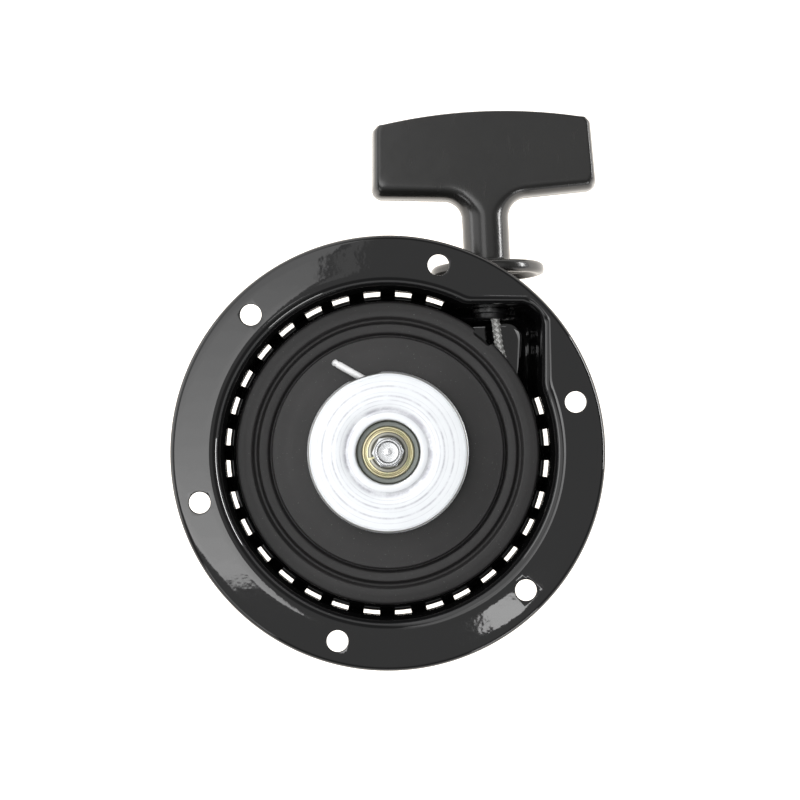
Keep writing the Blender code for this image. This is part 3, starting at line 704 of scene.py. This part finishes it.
def housing_mesh():
    bm = bmesh.new()
    columns = housing_columns()
    inner_pole = bm.verts.new((0, 0, SHEET))
    outer_pole = bm.verts.new((0, 0, 0))
    grid = []
    for angle, slotted in columns:
        path, inner, outer = housing_section(angle)
        between = [bm.verts.new(polar(r, angle, z)) for r, z in path[1:-1]]
        grid.append([inner_pole, *between, outer_pole])
    rows = len(grid[0])
    rims = []
    for k, (angle, slotted) in enumerate(columns):
        here, after = grid[k], grid[(k + 1) % len(grid)]
        for j in range(rows - 1):
            open_row = inner[0] <= j < inner[1] or outer[1] <= j < outer[0]
            if slotted and open_row:
                continue
            add_face(bm, (here[j], here[j + 1], after[j + 1], after[j]))
        if slotted:
            for j, i in zip(inner, outer):
                rims.append(bm.faces.new((here[j], after[j], after[i], here[i])))
        before = columns[k - 1][1]
        if slotted != before:
            for step in range(inner[1] - inner[0]):
                j, i = inner[0] + step, outer[0] - step
                rims.append(bm.faces.new((here[j], here[j + 1], here[i - 1], here[i])))
    bmesh.ops.recalc_face_normals(bm, faces=bm.faces)
    rim_faces = set(rims)
    edges = {e for f in rims for e in f.edges if not all(g in rim_faces for g in e.link_faces)}
    bmesh.ops.bevel(bm, geom=list(edges), offset=0.00028, segments=2, profile=0.5,
                    affect="EDGES", clamp_overlap=True)
    return bm


def hole_cutter(radius, bottom, top, lip):
    """A drill whose ends flare, so that it leaves rounded edges on both faces of the sheet."""
    path = [(0.0, top + 0.002), (radius + lip, top + 0.002), (radius + lip, top)]
    path += arc((radius + lip, top - lip), lip, 90, 180, 5)[1:]
    path += arc((radius + lip, bottom + lip), lip, 180, 270, 5)
    path += [(radius + lip, bottom - 0.002), (0.0, bottom - 0.002)]
    return turned_mesh(path, 64, closed=False)


def make_housing(paint):
    housing = add_piece("housing_shell", housing_mesh(), paint)
    holes = bmesh.new()
    for k in range(HOLE_COUNT):
        hole = hole_cutter(HOLE_RADIUS, FLANGE_TOP - SHEET, FLANGE_TOP, 0.00035)
        swing_out(hole, HOLE_CIRCLE, HOLE_START + tau * k / HOLE_COUNT)
        join(holes, hole)
    carve(housing, holes)
    mouth = hole_cutter(0.0064, 0.0, SHEET, 0.0002)
    mouth.transform(Matrix.Translation(GUIDE_CENTRE) @ ALONG_Y)
    carve(housing, mouth)
    return housing


# Centre

def make_plate(zinc):
    """The friction plate: a pressed dish, its rim rounded, its edge dented over the window."""
    top = PLATE_TOP
    wall = PLATE_HOLE + PLATE_SHEET
    under = top - PLATE_SHEET
    dish = PLATE_DISH_TOP - 0.0014
    hole = SPIGOT_RADIUS + 0.0003
    corners = [
        (hole, dish), (wall, dish, 0.0016), (wall, under, 0.0003),
        (PLATE_RADIUS - PLATE_SHEET, under, 0.0004),
        (PLATE_RADIUS - PLATE_SHEET, PLATE_SKIRT_BOTTOM),
        (PLATE_RADIUS, PLATE_SKIRT_BOTTOM, 0.0003), (PLATE_RADIUS, top - 0.0001, 0.0011),
    ]
    rim = PLATE_RADIUS - 0.0013
    corners += [(rim, top - 0.0001), (rim - 0.0001, top - 0.00022)]
    corners += [(rim - 0.0003, top - 0.00022), (rim - 0.0004, top)]
    corners += [(0.0292, top), (0.0236, top - 0.00005), (0.0186, top)]
    corners += [(0.0184, top - 0.00005), (0.0176, top - 0.00005), (0.0174, top)]
    corners += [(PLATE_HOLE, top, 0.0008), (PLATE_HOLE, PLATE_DISH_TOP, 0.0010)]
    corners += [(hole, PLATE_DISH_TOP, 0.0002)]
    bm = turned(corners, 256, steps=6)
    start, end = PLATE_WINDOW
    middle, half = (start + end) / 2, (end - start) / 2
    for vert in bm.verts:
        x, y, z = vert.co
        off = abs(atan2(y, x) - middle) / half
        if hypot(x, y) > 0.0315 and z > 0.0480 and off < 1:
            pull = 0.0007 * cos(off * pi / 2) ** 0.5
            vert.co.xy *= 1 - pull / hypot(x, y)
    plate = add_piece("friction_plate_shell", bm, zinc)
    steps = [start + (end - start) * k / 12 for k in range(13)]
    outline = [(0.029 * cos(a), 0.029 * sin(a)) for a in steps]
    outline += [(0.036 * cos(a), 0.036 * sin(a)) for a in reversed(steps)]
    carve(plate, prism(outline, PLATE_SKIRT_BOTTOM - 0.002, PLATE_WINDOW_TOP))
    return plate


def make_bolt(zinc):
    """Hexagon head with a chamfered crown and a round recess, on its shank."""
    flat = HEAD_ACROSS_FLATS / 2
    corner = flat / cos(radians(30))
    bm = turned_mesh([(0, HEAD_BOTTOM), (corner, HEAD_BOTTOM), (corner, HEAD_TOP), (0, HEAD_TOP)],
                     6, closed=False)
    bm.transform(Matrix.Rotation(radians(4), 4, "Z"))
    bolt = add_piece("center_bolt_head", bm, zinc)
    crown = [
        (0, HEAD_BOTTOM - 0.001), (corner + 0.002, HEAD_BOTTOM - 0.001),
        (corner + 0.002, HEAD_TOP - 0.0016), (flat - 0.0002, HEAD_TOP + 0.00004, 0.0003),
        (0.0047, HEAD_TOP + 0.00004, 0.0002), (0.0044, HEAD_TOP - 0.0007, 0.0003),
        (0.0016, HEAD_TOP - 0.0007, 0.0004), (0, HEAD_TOP - 0.0004),
    ]
    carve(bolt, turned(crown, 96, closed=False), "INTERSECT", 25)
    shank = [
        (0, 0.0225), (0.0030, 0.0225), (0.0038, 0.0235), (0.0038, HEAD_BOTTOM + 0.001),
        (0, HEAD_BOTTOM + 0.001),
    ]
    carve(bolt, turned_mesh(shank, 48, closed=False), "UNION", 25)
    return bolt


def make_ring(name, inner, outer, bottom, top, material, edge=0.0002, segments=128):
    corners = [(inner, bottom, edge), (outer, bottom, edge), (outer, top, edge), (inner, top, edge)]
    return add_piece(name, turned(corners, segments, steps=4), material)


def make_thrust_washer(yellow):
    """A pressed washer: a rounded raised ring round a flat middle."""
    top = THRUST_TOP
    corners = [
        (0.0044, THRUST_BOTTOM, 0.0002), (0.0113, THRUST_BOTTOM, 0.0003),
        (0.0113, top - 0.0005, 0.0004), (0.0108, top, 0.0005), (0.0101, top, 0.0003),
        (0.0099, top - 0.0004, 0.0002), (0.0095, top - 0.0004, 0.0002), (0.0093, top, 0.0002),
        (0.0044, top, 0.0002),
    ]
    return add_piece("thrust_washer_ring", turned(corners, 160, steps=4), yellow)


def make_lock_washer(zinc):
    """A split spring washer, its two ends sprung a little apart."""
    washer = make_ring("lock_washer_split", 0.0044, 0.0086, LOCK_BOTTOM, LOCK_TOP, zinc, 0.00025)
    gap = prism([(0.002, -0.0005), (0.012, -0.0004), (0.012, 0.0004), (0.002, 0.0005)],
                LOCK_BOTTOM - 0.001, LOCK_TOP + 0.001)
    gap.transform(Matrix.Rotation(radians(200), 4, "Z"))
    carve(washer, gap)
    return washer


def make_post(steel):
    corners = [
        (0, 0.0018), (0.015, 0.0018, 0.0003), (0.015, 0.0040, 0.0005), (0.011, 0.0040, 0.0006),
        (0.011, 0.0163, 0.0004), (0.009, 0.0163, 0.0002), (0.009, 0.0446, 0.0004),
        (SPIGOT_RADIUS, 0.0446, 0.0002), (SPIGOT_RADIUS, 0.0474, 0.0003),
        (0.0041, 0.0474, 0.0003), (0.0041, 0.0200), (0, 0.0180),
    ]
    bm = turned(corners, 128, closed=False)
    return add_piece("center_post_turned", bm, steel)


# Reel

def make_reel(nylon):
    bore = BUSH_RADIUS + 0.0003
    corners = [
        (bore, CAVITY_TOP), (CAVITY_RADIUS, CAVITY_TOP, 0.0006),
        (CAVITY_RADIUS, REEL_SKIRT_BOTTOM, 0.0003),
        (REEL_SKIRT_RADIUS, REEL_SKIRT_BOTTOM, 0.0005),
        (REEL_SKIRT_RADIUS, REAR_FLANGE_BOTTOM, 0.0008),
        (REEL_RADIUS, REAR_FLANGE_BOTTOM, 0.0005),
        (REEL_RADIUS, REAR_FLANGE_BOTTOM + 0.0010, 0.0003), (GROOVE_FLOOR, GROOVE_BOTTOM, 0.0006),
        (GROOVE_FLOOR, GROOVE_TOP, 0.0006), (REEL_RADIUS, GROOVE_TOP + 0.0010, 0.0003),
        (REEL_RADIUS, REEL_LAND_TOP, 0.0013), (0.0589, REEL_LAND_TOP + 0.0001, 0.0009),
        (0.0579, 0.0352, 0.0009), (0.0566, 0.0352, 0.0009), (0.0557, REEL_BEAD_TOP, 0.0008),
        (0.0516, REEL_BEAD_TOP - 0.0003, 0.0013), (0.0510, 0.0362, 0.0006),
        (0.0502, 0.0362, 0.0004), (REEL_PLATEAU_RADIUS, REEL_PLATEAU_TOP, 0.0006),
        (REEL_BOSS_RADIUS, REEL_PLATEAU_TOP, 0.0006), (REEL_BOSS_RADIUS, REEL_BOSS_TOP, 0.0005),
        (bore, REEL_BOSS_TOP, 0.0003),
    ]
    reel = add_piece("reel_moulding", turned(corners, 288), nylon)
    half = NOTCH_WIDTH / 2
    outline = [(NOTCH_FLOOR, -half), (0.070, -half - 0.002), (0.070, half + 0.002),
               (NOTCH_FLOOR, half)]
    notch = prism(outline, NOTCH_BOTTOM, REEL_LAND_TOP + 0.003)
    bmesh.ops.recalc_face_normals(notch, faces=notch.faces)
    upright = [e for e in notch.edges if abs((e.verts[0].co - e.verts[1].co).z) > 0.001]
    bmesh.ops.bevel(notch, geom=upright, offset=0.0005, segments=3, profile=0.5, affect="EDGES")
    notch.transform(Matrix.Rotation(NOTCH_ANGLE, 4, "Z"))
    carve(reel, notch)
    foot = PAWL_PIVOT.z - PAWL_LEG - 0.001
    pawl_bore = [
        (0, foot), (PAWL_BORE, foot), (PAWL_BORE, PAWL_SPRING_ROOM_BOTTOM),
        (PAWL_SPRING_ROOM, PAWL_SPRING_ROOM_BOTTOM), (PAWL_SPRING_ROOM, PAWL_SPRING_ROOM_TOP),
        (0, PAWL_SPRING_ROOM_TOP),
    ]
    drill = turned_mesh(pawl_bore, 48, closed=False)
    drill.transform(Matrix.Translation((PAWL_PIVOT.x, PAWL_PIVOT.y, 0)))
    carve(reel, drill)
    low, high = REAR_FLANGE_BOTTOM - 0.0032, GROOVE_BOTTOM + 0.0014
    hole = [(0, low), (ROPE_HOLE_RADIUS, low), (ROPE_HOLE_RADIUS, high), (0, high)]
    hole = turned_mesh(hole, 32, closed=False)
    swing_out(hole, ROPE_HOLE_CIRCLE, knot_angle())
    carve(reel, hole)
    return reel


def knot_angle():
    """Where on the reel the wound rope starts."""
    return WRAP_END - tau * WRAP_TURNS


def make_power_spring(material):
    """The flat spiral strip in the reel's cavity."""
    bm = bmesh.new()
    rings = []
    count = SPRING_TURNS * SPRING_STEPS
    for k in range(count + 1):
        radius = SPRING_INNER + (SPRING_OUTER - SPRING_INNER) * k / count
        inner, outer = radius - SPRING_THICK / 2, radius + SPRING_THICK / 2
        section = rounded([(inner, SPRING_BOTTOM, 0.0001), (outer, SPRING_BOTTOM, 0.0001),
                           (outer, SPRING_TOP, 0.0001), (inner, SPRING_TOP, 0.0001)], steps=2)
        rings.append([polar(r, tau * k / SPRING_STEPS, z) for r, z in section])
    add_tube(bm, rings)
    return add_piece("power_spring_strip", bm, material)


# Rope

def braid(path, radius, carriers, sides, lay, name, yarn, other):
    """A braided rope: light strands one way, darker ones the other, over and under each other; the
    darker strands and the dark core between them are painted shade.
    """
    stations = frames_along(path)
    thick = radius * 0.30
    wide = radius * pi / carriers * 1.22
    bm = bmesh.new()
    for strand in range(carriers):
        turning = 1 if strand % 2 else -1
        start = tau * (strand // 2) / (carriers / 2)
        rings = []
        for point, across, over, travelled in stations:
            turn = turning * tau * travelled / lay + start
            weave = cos(turn * carriers / 2 * turning)
            lift = radius - thick + turning * weave * thick * 0.5
            out = across * cos(turn) + over * sin(turn)
            side = -across * sin(turn) + over * cos(turn)
            middle = point + out * lift
            high = out * thick * 0.75
            turns = [tau * k / sides for k in range(sides)]
            rings.append([middle + high * sin(a) + side * wide * cos(a) for a in turns])
        # Odd strands and the core take the second material, darker yarn that is painted shade
        # between the strands.
        add_tube(bm, rings, strand % 2)
    turns = [tau * k / 10 for k in range(10)]
    core = [[point + (across * cos(a) + over * sin(a)) * radius * 0.55 for a in turns]
            for point, across, over, travelled in stations]
    add_tube(bm, core, 1)
    rope = add_piece(name, bm, yarn, 60)
    rope.data.materials.append(other)
    return rope


def grip_point(along):
    """A point on the grip's own axis, so far from its foot."""
    return TO_GRIP @ Vector((0, along, 0))


def lead_route():
    start = Vector((cos(WRAP_END), sin(WRAP_END), 0)) * WRAP_RADIUS
    start.z = WRAP_END_Z
    way = Vector((-sin(WRAP_END), cos(WRAP_END), 0))
    between = [(0.0522, 0.0350, 0.0317), (0.0490, 0.0450, 0.0306), (0.0482, 0.0510, 0.0292),
               (0.0473, 0.0575, 0.0284), (0.0463, 0.0625, 0.0281), (0.0449, 0.0700, 0.0280)]
    route = [start + way * 0.0006, start + way * 0.010, *map(Vector, between)]
    route += [grip_point(along) for along in (0.005, 0.020, KNOT_ROOM_BOTTOM + 0.0016)]
    return route


def make_rope_wound(yarn, other):
    count = round(300 * WRAP_TURNS)
    path = []
    for k in range(count + 1):
        angle = knot_angle() + tau * WRAP_TURNS * k / count
        z = WRAP_END_Z - WRAP_PITCH * WRAP_TURNS * (1 - k / count)
        path.append(polar(WRAP_RADIUS, angle, z))
    return braid(path, WOUND_RADIUS, 8, 6, 0.016, "rope_wound_braid", yarn, other)


def make_knot(name, centre, yarn, other):
    """An overhand knot pulled tight, as a trefoil of rope."""
    path = []
    for k in range(97):
        t = tau * k / 96
        x = sin(t) + 2 * sin(2 * t)
        y = cos(t) - 2 * cos(2 * t)
        z = -sin(3 * t)
        path.append(centre + Vector((x * 0.00078, y * 0.00078, z * 0.00135)))
    return braid(path, KNOT_ROPE_RADIUS, 8, 6, 0.013, name, yarn, other)


# Pawl

def make_pawl(steel):
    """A bent rod with a shallow neck behind its rounded tip."""
    way = Vector((cos(PAWL_ANGLE), sin(PAWL_ANGLE), 0))
    knee = 0.0022
    points = [Vector((0, 0, -PAWL_LEG + 0.008 * k / 6)) for k in range(6)]
    for k in range(9):
        bent = radians(90) * k / 8
        rise = Vector((0, 0, knee * (sin(bent) - 1)))
        points.append(way * knee * (1 - cos(bent)) + rise)
    steps = 60
    points += [way * (knee + (PAWL_LENGTH - knee) * k / steps) for k in range(1, steps + 1)]
    stations = frames_along([PAWL_PIVOT + p for p in points])
    total = stations[-1][3]

    def radius_at(share):
        left = (1 - share) * total
        foot = share * total
        if foot < 0.0005:
            return PAWL_RADIUS - 0.0003
        if left < 0.0012:
            return max(PAWL_RADIUS * sqrt(max(1 - (1 - left / 0.0012) ** 2, 0.0)), 0.0002)
        neck = exp(-((left - 0.0021) / 0.00045) ** 2)
        return PAWL_RADIUS * (1 - 0.16 * neck)

    dense = []
    for first, second in zip(stations, stations[1:]):
        dense += [first[0].lerp(second[0], k / 3) for k in range(3)]
    bm = rod(dense + [stations[-1][0]], radius_at)
    return add_piece("pawl_rod", bm, steel)


def make_pawl_spring(material):
    """Two turns of wire around the pawl's leg, and a little more."""
    path = []
    for k in range(PAWL_SPRING_TURNS * 64 + 5):
        angle = PAWL_ANGLE - radians(90) + tau * k / 64
        path.append(PAWL_PIVOT + polar(PAWL_SPRING_RADIUS, angle, -0.0039 + 0.0008 * k / 64))
    return add_piece("pawl_spring_coil", rod(path, lambda share: PAWL_SPRING_WIRE, 10), material)


# Grip and guide

def grip_outline():
    """Half the grip's front outline, foot to crown, as (half width, y)."""
    wide, stem, foot = GRIP_HALF_WIDTH, GRIP_STEM_RADIUS, GRIP_FOOT_RADIUS
    corners = [
        (0.0, 0.0), (foot, 0.0, 0.0023), (foot, GRIP_FOOT_THICK, 0.0023), (stem, 0.0060, 0.0022),
        (stem, 0.0338, 0.0085), (wide, 0.0362, 0.0044), (wide - 0.0014, 0.0684, 0.0040),
    ]
    shoulder, rise = wide - 0.0060, 0.0041
    round_crown = (shoulder ** 2 + rise ** 2) / (2 * rise)
    for k in range(15, -1, -1):
        w = shoulder * k / 15
        drop = round_crown - sqrt(round_crown ** 2 - w ** 2)
        corners.append((w, GRIP_TOP - drop))
    return rounded(corners, closed=False, steps=10)


def dense_outline(path, spacing):
    found = [path[0]]
    for a, b in zip(path, path[1:]):
        steps = max(1, ceil((Vector(b) - Vector(a)).length / spacing))
        found += spread(a, b, steps)
    return found


def smoothstep(low, high, value):
    t = min(max((value - low) / (high - low), 0.0), 1.0)
    return t * t * (3 - 2 * t)


def distances(points, line):
    """Distance of each (x, y) from a line of joined points."""
    start, end = line[:-1], line[1:]
    along = end - start
    lengths = np.maximum((along ** 2).sum(axis=1), 1e-18)
    offset = points[:, None, :] - start[None]
    share = np.clip((offset * along[None]).sum(axis=2) / lengths, 0, 1)
    return np.linalg.norm(offset - share[..., None] * along[None], axis=2).min(axis=1)


def make_grip(plastic):
    """Foot, stem and crossbar in one moulding, with a parting line all round its middle."""
    bm = bmesh.new()
    around = 120
    half = dense_outline(grip_outline(), 0.0011)
    edge = np.array(half)
    heel = next(k for k, (w, y) in enumerate(half) if w > GRIP_HALF_WIDTH - 0.0009)
    corner = next(k for k, (w, y) in enumerate(half) if y > GRIP_CORNER_Y)
    sides = ((edge[:heel + 1], None), (edge[heel:corner + 1], GRIP_END_CURL),
             (edge[corner:], GRIP_CROWN_CURL))
    rings = []
    for k in range(1, len(half) - 1):
        width, y = half[k]
        turns = np.arange(around) * tau / around
        xs = width * np.cos(turns)
        if y < 0.012:
            zs = width * np.sin(turns)
        else:
            bar = smoothstep(0.026, 0.042, y)
            side = GRIP_STEM_RADIUS + (GRIP_HALF_DEPTH - GRIP_STEM_RADIUS) * bar
            power = 2 + 1.6 * bar
            zs = side * np.sign(np.sin(turns).round(9))
            for line, curl in sides:
                far = distances(np.column_stack((np.abs(xs), np.full(around, y))), line)
                if curl is None:
                    near = np.clip(far / GRIP_STEM_RADIUS, 0, 1)
                    zs = zs * np.maximum(1 - (1 - near) ** power, 0) ** (1 / power)
                else:
                    near = np.clip(far / curl, 0, 1)
                    zs = zs * np.sqrt(np.maximum(1 - (1 - near) ** 2, 0))
        before, after = half[k - 1], half[k + 1]
        away = Vector((after[1] - before[1], before[0] - after[0])).normalized()
        ring = [bm.verts.new((x, y, z)) for x, z in zip(xs, zs)]
        for vert, sign in ((ring[0], 1), (ring[around // 2], -1)):
            vert.co += Vector((sign * away.x, away.y, 0)) * 0.00014
        rings.append(ring)
    for ring, after in zip(rings, rings[1:]):
        for k in range(around):
            j = (k + 1) % around
            bm.faces.new((ring[k], ring[j], after[j], after[k]))
    for ring, y in ((rings[0], 0.0), (rings[-1], GRIP_TOP)):
        pole = bm.verts.new((0, y, 0))
        for k in range(around):
            bm.faces.new((ring[k], ring[(k + 1) % around], pole))
    grip = add_piece("handle_grip_moulding", bm, plastic, 50)
    hollow = [
        (0.0, -0.001), (0.0226, -0.001), (0.0212, 0.0004, 0.0006), (0.0190, 0.0026, 0.0015),
        (0.0100, 0.0032, 0.0020), (GRIP_BORE, 0.0035, 0.0004), (GRIP_BORE, KNOT_ROOM_BOTTOM),
        (KNOT_ROOM_RADIUS, KNOT_ROOM_BOTTOM, 0.0004),
        (KNOT_ROOM_RADIUS, GRIP_TOP - 0.0006, 0.0006),
        (KNOT_ROOM_RADIUS + 0.0008, GRIP_TOP + 0.0004), (0.0, GRIP_TOP + 0.003),
    ]
    bored = turned(hollow, 64, closed=False)
    bored.transform(ALONG_Y)
    carve(grip, bored, smooth=50)
    grip.matrix_world = TO_GRIP
    return grip


def make_guide(material):
    outside = SHEET + 0.0003
    nose = GRIP_FOOT.y + 0.0032 - POCKET_TOP
    corners = [
        (GUIDE_BORE, nose - 0.0008), (GUIDE_BORE, -0.0012), (0.0050, -0.0047, 0.0010),
        (0.0068, -0.0047, 0.0010), (0.0070, -0.0022, 0.0002), (0.0080, -0.0022, 0.0006),
        (0.0080, -0.0003), (0.0061, -0.0003), (0.0061, outside), (0.0084, outside, 0.0003),
        (0.0084, outside + 0.002, 0.0008), (0.0070, outside + 0.0034, 0.0010),
        (0.0062, nose - 0.001, 0.0004), (0.0056, nose, 0.0004), (0.0040, nose, 0.0004),
    ]
    bm = turned(corners, 96)
    bm.transform(Matrix.Translation(GUIDE_CENTRE) @ ALONG_Y)
    return add_piece("rope_guide_bush", bm, material)


# Scene

def add_light(name, centre, size, target, radiance):
    """A flat soft box at a centre, facing a target, with its width and height."""
    data = bpy.data.lights.new(name, "AREA")
    data.shape = "RECTANGLE"
    data.size, data.size_y = size
    data.energy = radiance * size[0] * size[1] * pi
    light = bpy.data.objects.new(name, data)
    light.location = centre
    facing = Vector(target) - Vector(centre)
    light.rotation_euler = facing.to_track_quat("-Z", "Y").to_euler()
    bpy.context.collection.objects.link(light)
    return light


def add_ceiling_box(name, low, high, radiance):
    """A soft box facing straight down from the ceiling, given by its corners."""
    centre = ((low[0] + high[0]) / 2, (low[1] + high[1]) / 2, FLANGE_TOP + CEILING_HEIGHT)
    size = (high[0] - low[0], high[1] - low[1])
    light = add_light(name, centre, size, (centre[0], centre[1], 0), radiance)
    light.rotation_euler = (0, 0, 0)


def make_world():
    """White walls low down, a dark ring above, a window on the left; plain white to the camera."""
    world = bpy.data.worlds.new("studio")
    bpy.context.scene.world = world
    nodes = Nodes(world, "Background", "Generated")
    rings = nodes.ramp(nodes.parts()["Z"], WORLD_RINGS)
    facing = nodes.add("ShaderNodeVectorMath", {0: nodes.place, 1: WINDOW_WAY},
                       operation="DOT_PRODUCT")
    window = nodes.span(facing.outputs["Value"], 0.0, WINDOW_LIGHT, *WINDOW_EDGE)
    nodes.drive("Color", nodes.mix(1.0, rings, window, "LIGHTEN"))
    nodes.set(Strength=2.0)
    seen = nodes.add("ShaderNodeBackground", {"Color": (1, 1, 1, 1)})
    by_camera = nodes.add("ShaderNodeLightPath").outputs["Is Camera Ray"]
    either = nodes.add("ShaderNodeMixShader",
                       {0: by_camera, 1: nodes.shader.outputs[0], 2: seen.outputs[0]})
    nodes.tree.links.new(either.outputs[0], nodes.tree.nodes["World Output"].inputs["Surface"])


def make_stage():
    bpy.ops.mesh.primitive_plane_add(size=12, location=(0, 0, -0.0002))
    floor = bpy.context.object
    floor.name = "floor"
    floor.data.materials.append(floor_material())

    front, back = LEFT_BOX_ENDS
    for k in range(LEFT_STRIPS):
        low, high = (front + (back - front) * share / LEFT_STRIPS for share in (k, k + 1))
        radiance = 5.6 - 4.0 * (k / LEFT_STRIPS) ** 0.8
        add_ceiling_box(f"left_box_{k}", (LEFT_BOX[0], low), (LEFT_BOX[1], high), radiance)
    for name, low, high, radiance in CEILING_LIGHTS:
        add_ceiling_box(name, low, high, radiance)
    for name, centre, size, radiance in SIDE_LIGHTS:
        add_light(name, centre, size, (0, 0, FLANGE_TOP), radiance)
    make_world()
    bpy.context.scene.view_settings.view_transform = "Standard"


def make_camera():
    """Straight over the starter, a little beside its axis, tipped two degrees towards the grip."""
    camera = bpy.data.objects.new("camera", bpy.data.cameras.new("camera"))
    bpy.context.collection.objects.link(camera)
    away = (CAMERA_PLACE - CAMERA_TARGET).normalized()
    right = Vector((0, 1, 0)).cross(away).normalized()
    up = away.cross(right)
    turn = Matrix((right, up, away)).transposed().to_4x4()
    camera.matrix_world = Matrix.Translation(CAMERA_PLACE) @ turn
    camera.data.sensor_width = 36
    camera.data.lens = 36 * (CAMERA_PLACE - CAMERA_TARGET).length / FRAME_WIDTH
    camera.data.clip_start = 0.01
    bpy.context.scene.camera = camera


def main():
    paint = paint_material()
    nylon = nylon_material()
    plastic = grip_material()
    # The plate's material carries painted shade in its dish and a painted dark reflection on its
    # rim; the spring keeper, low down, takes the dish's painted shade all over.
    zinc = turned_metal("bright_zinc", (0.66, 0.68, 0.70), (0.88, 0.90, 0.92), (0.40, 0.54),
                        PLATE_LINES, 0.0500, rim=PLATE_RADIUS - 0.0011)
    yellow = turned_metal("yellow_zinc", (0.34, 0.32, 0.20), (0.66, 0.62, 0.42), (0.22, 0.36),
                          tint=((0.42, 0.46, 0.30), (0.60, 0.54, 0.32), (0.46, 0.38, 0.30)))
    # Painted shade: near-black rings at the lock washer's inner edge, beside the bolt head, and at
    # its outer rim stand in for the shade there.
    edge_shaded = turned_metal("zinc_edge_shade", (0.16, 0.16, 0.14), (0.58, 0.57, 0.50), (0.24, 0.38),
                         ((0.0069, 0.0011, 1.0), (0.0087, 0.0009, 1.0)),
                         line_and_shade_colour=(0.012, 0.012, 0.010), worn=False)
    # Painted shade: near-black rings at the crown's chamfer edge and round the recess stand in for
    # the shade there.
    head_shaded = turned_metal("zinc_head_shade", (0.30, 0.31, 0.32), (0.84, 0.85, 0.86), (0.18, 0.32),
                          ((0.0056, 0.0003, 1.0), (0.0045, 0.0005, 1.0)),
                          line_and_shade_colour=(0.03, 0.03, 0.03), worn=False)
    bright = steel_material("plain_steel", (0.80, 0.80, 0.81), (0.95, 0.95, 0.95), (0.38, 0.52))
    plated_rod = steel_material("plated_rod", (0.90, 0.90, 0.91), (0.98, 0.98, 0.98),
                                (0.48, 0.62), metallic=0.3)
    spring = steel_material("spring_steel", (0.13, 0.15, 0.20), (0.30, 0.32, 0.36), (0.22, 0.36))
    bronze = steel_material("sintered_bronze", (0.40, 0.26, 0.11), (0.60, 0.42, 0.20), (0.40, 0.60))
    guide = guide_material()
    yarn = rope_material("rope_braid", (0.82, 0.82, 0.80), (0.98, 0.98, 0.96))
    # Painted shade: this darker yarn stands in for the shadows between the rope's strands.
    shade = rope_material("rope_shade", (0.26, 0.26, 0.25), (0.52, 0.52, 0.50))

    washer = make_ring("handle_washer_ring", 0.0024, 0.0058, 0.0383, 0.0393, bright, 0.0001, 64)
    washer.data.transform(ALONG_Y)
    washer.matrix_world = TO_GRIP
    top_knot = grip_point(KNOT_ROOM_BOTTOM + 0.0022 + KNOT_RADIUS)
    low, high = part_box("rope_knot_reel")
    reel_knot = (low + high) / 2
    reel_knot.z = low.z + KNOT_RADIUS

    pieces = {
        "housing": [
            (make_housing(paint), "housing", "black_paint"),
            (make_post(bright), "center_post", "plain_steel"),
            (make_guide(guide), "rope_guide", "guide_nylon"),
            (make_ring("reel_washer_ring", 0.0093, 0.0140, 0.0166, 0.0170, bright, 0.0001),
             "reel_washer", "plain_steel"),
            (make_power_spring(spring), "power_spring", "spring_steel"),
            (make_thrust_washer(yellow), "thrust_washer", "yellow_zinc"),
            (make_lock_washer(edge_shaded), "lock_washer", "bright_zinc"),
            (make_bolt(head_shaded), "center_bolt", "bright_zinc"),
        ],
        "reel": [
            (make_reel(nylon), "reel", "black_nylon"),
            (make_ring("reel_bush_sleeve", 0.0091, BUSH_RADIUS, 0.0175, 0.0438, bronze),
             "reel_bush", "sintered_bronze"),
            (make_ring("spring_keeper_ring", 0.0170, 0.0488, 0.0037, 0.0045, zinc),
             "spring_keeper", "bright_zinc"),
            (make_rope_wound(yarn, shade), "rope_wound", "rope_braid"),
            (make_pawl_spring(spring), "pawl_spring", "spring_steel"),
            (make_knot("reel_knot", reel_knot, yarn, shade), "rope_knot_reel", "rope_braid"),
        ],
        "friction_plate": [(make_plate(zinc), "friction_plate", "bright_zinc")],
        "pawl": [(make_pawl(plated_rod), "pawl", "plain_steel")],
        "handle": [
            (make_grip(plastic), "handle_grip", "grip_plastic"),
            (washer, "handle_washer", "plain_steel"),
            (make_knot("handle_knot", top_knot, yarn, shade), "rope_knot_handle", "rope_braid"),
        ],
    }
    for body, made in pieces.items():
        for piece, node, slot in made:
            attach(piece, body)
            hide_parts(node)

    lead = braid(smooth_path(lead_route(), 0.0006), ROPE_RADIUS, 8, 8, 0.0100, "rope_lead_braid",
                 yarn, shade)
    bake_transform(lead)
    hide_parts("rope_lead")

    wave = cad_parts["friction_spring"]
    wave.data.materials.clear()
    wave.data.materials.append(spring)


make_camera()
make_stage()
main()
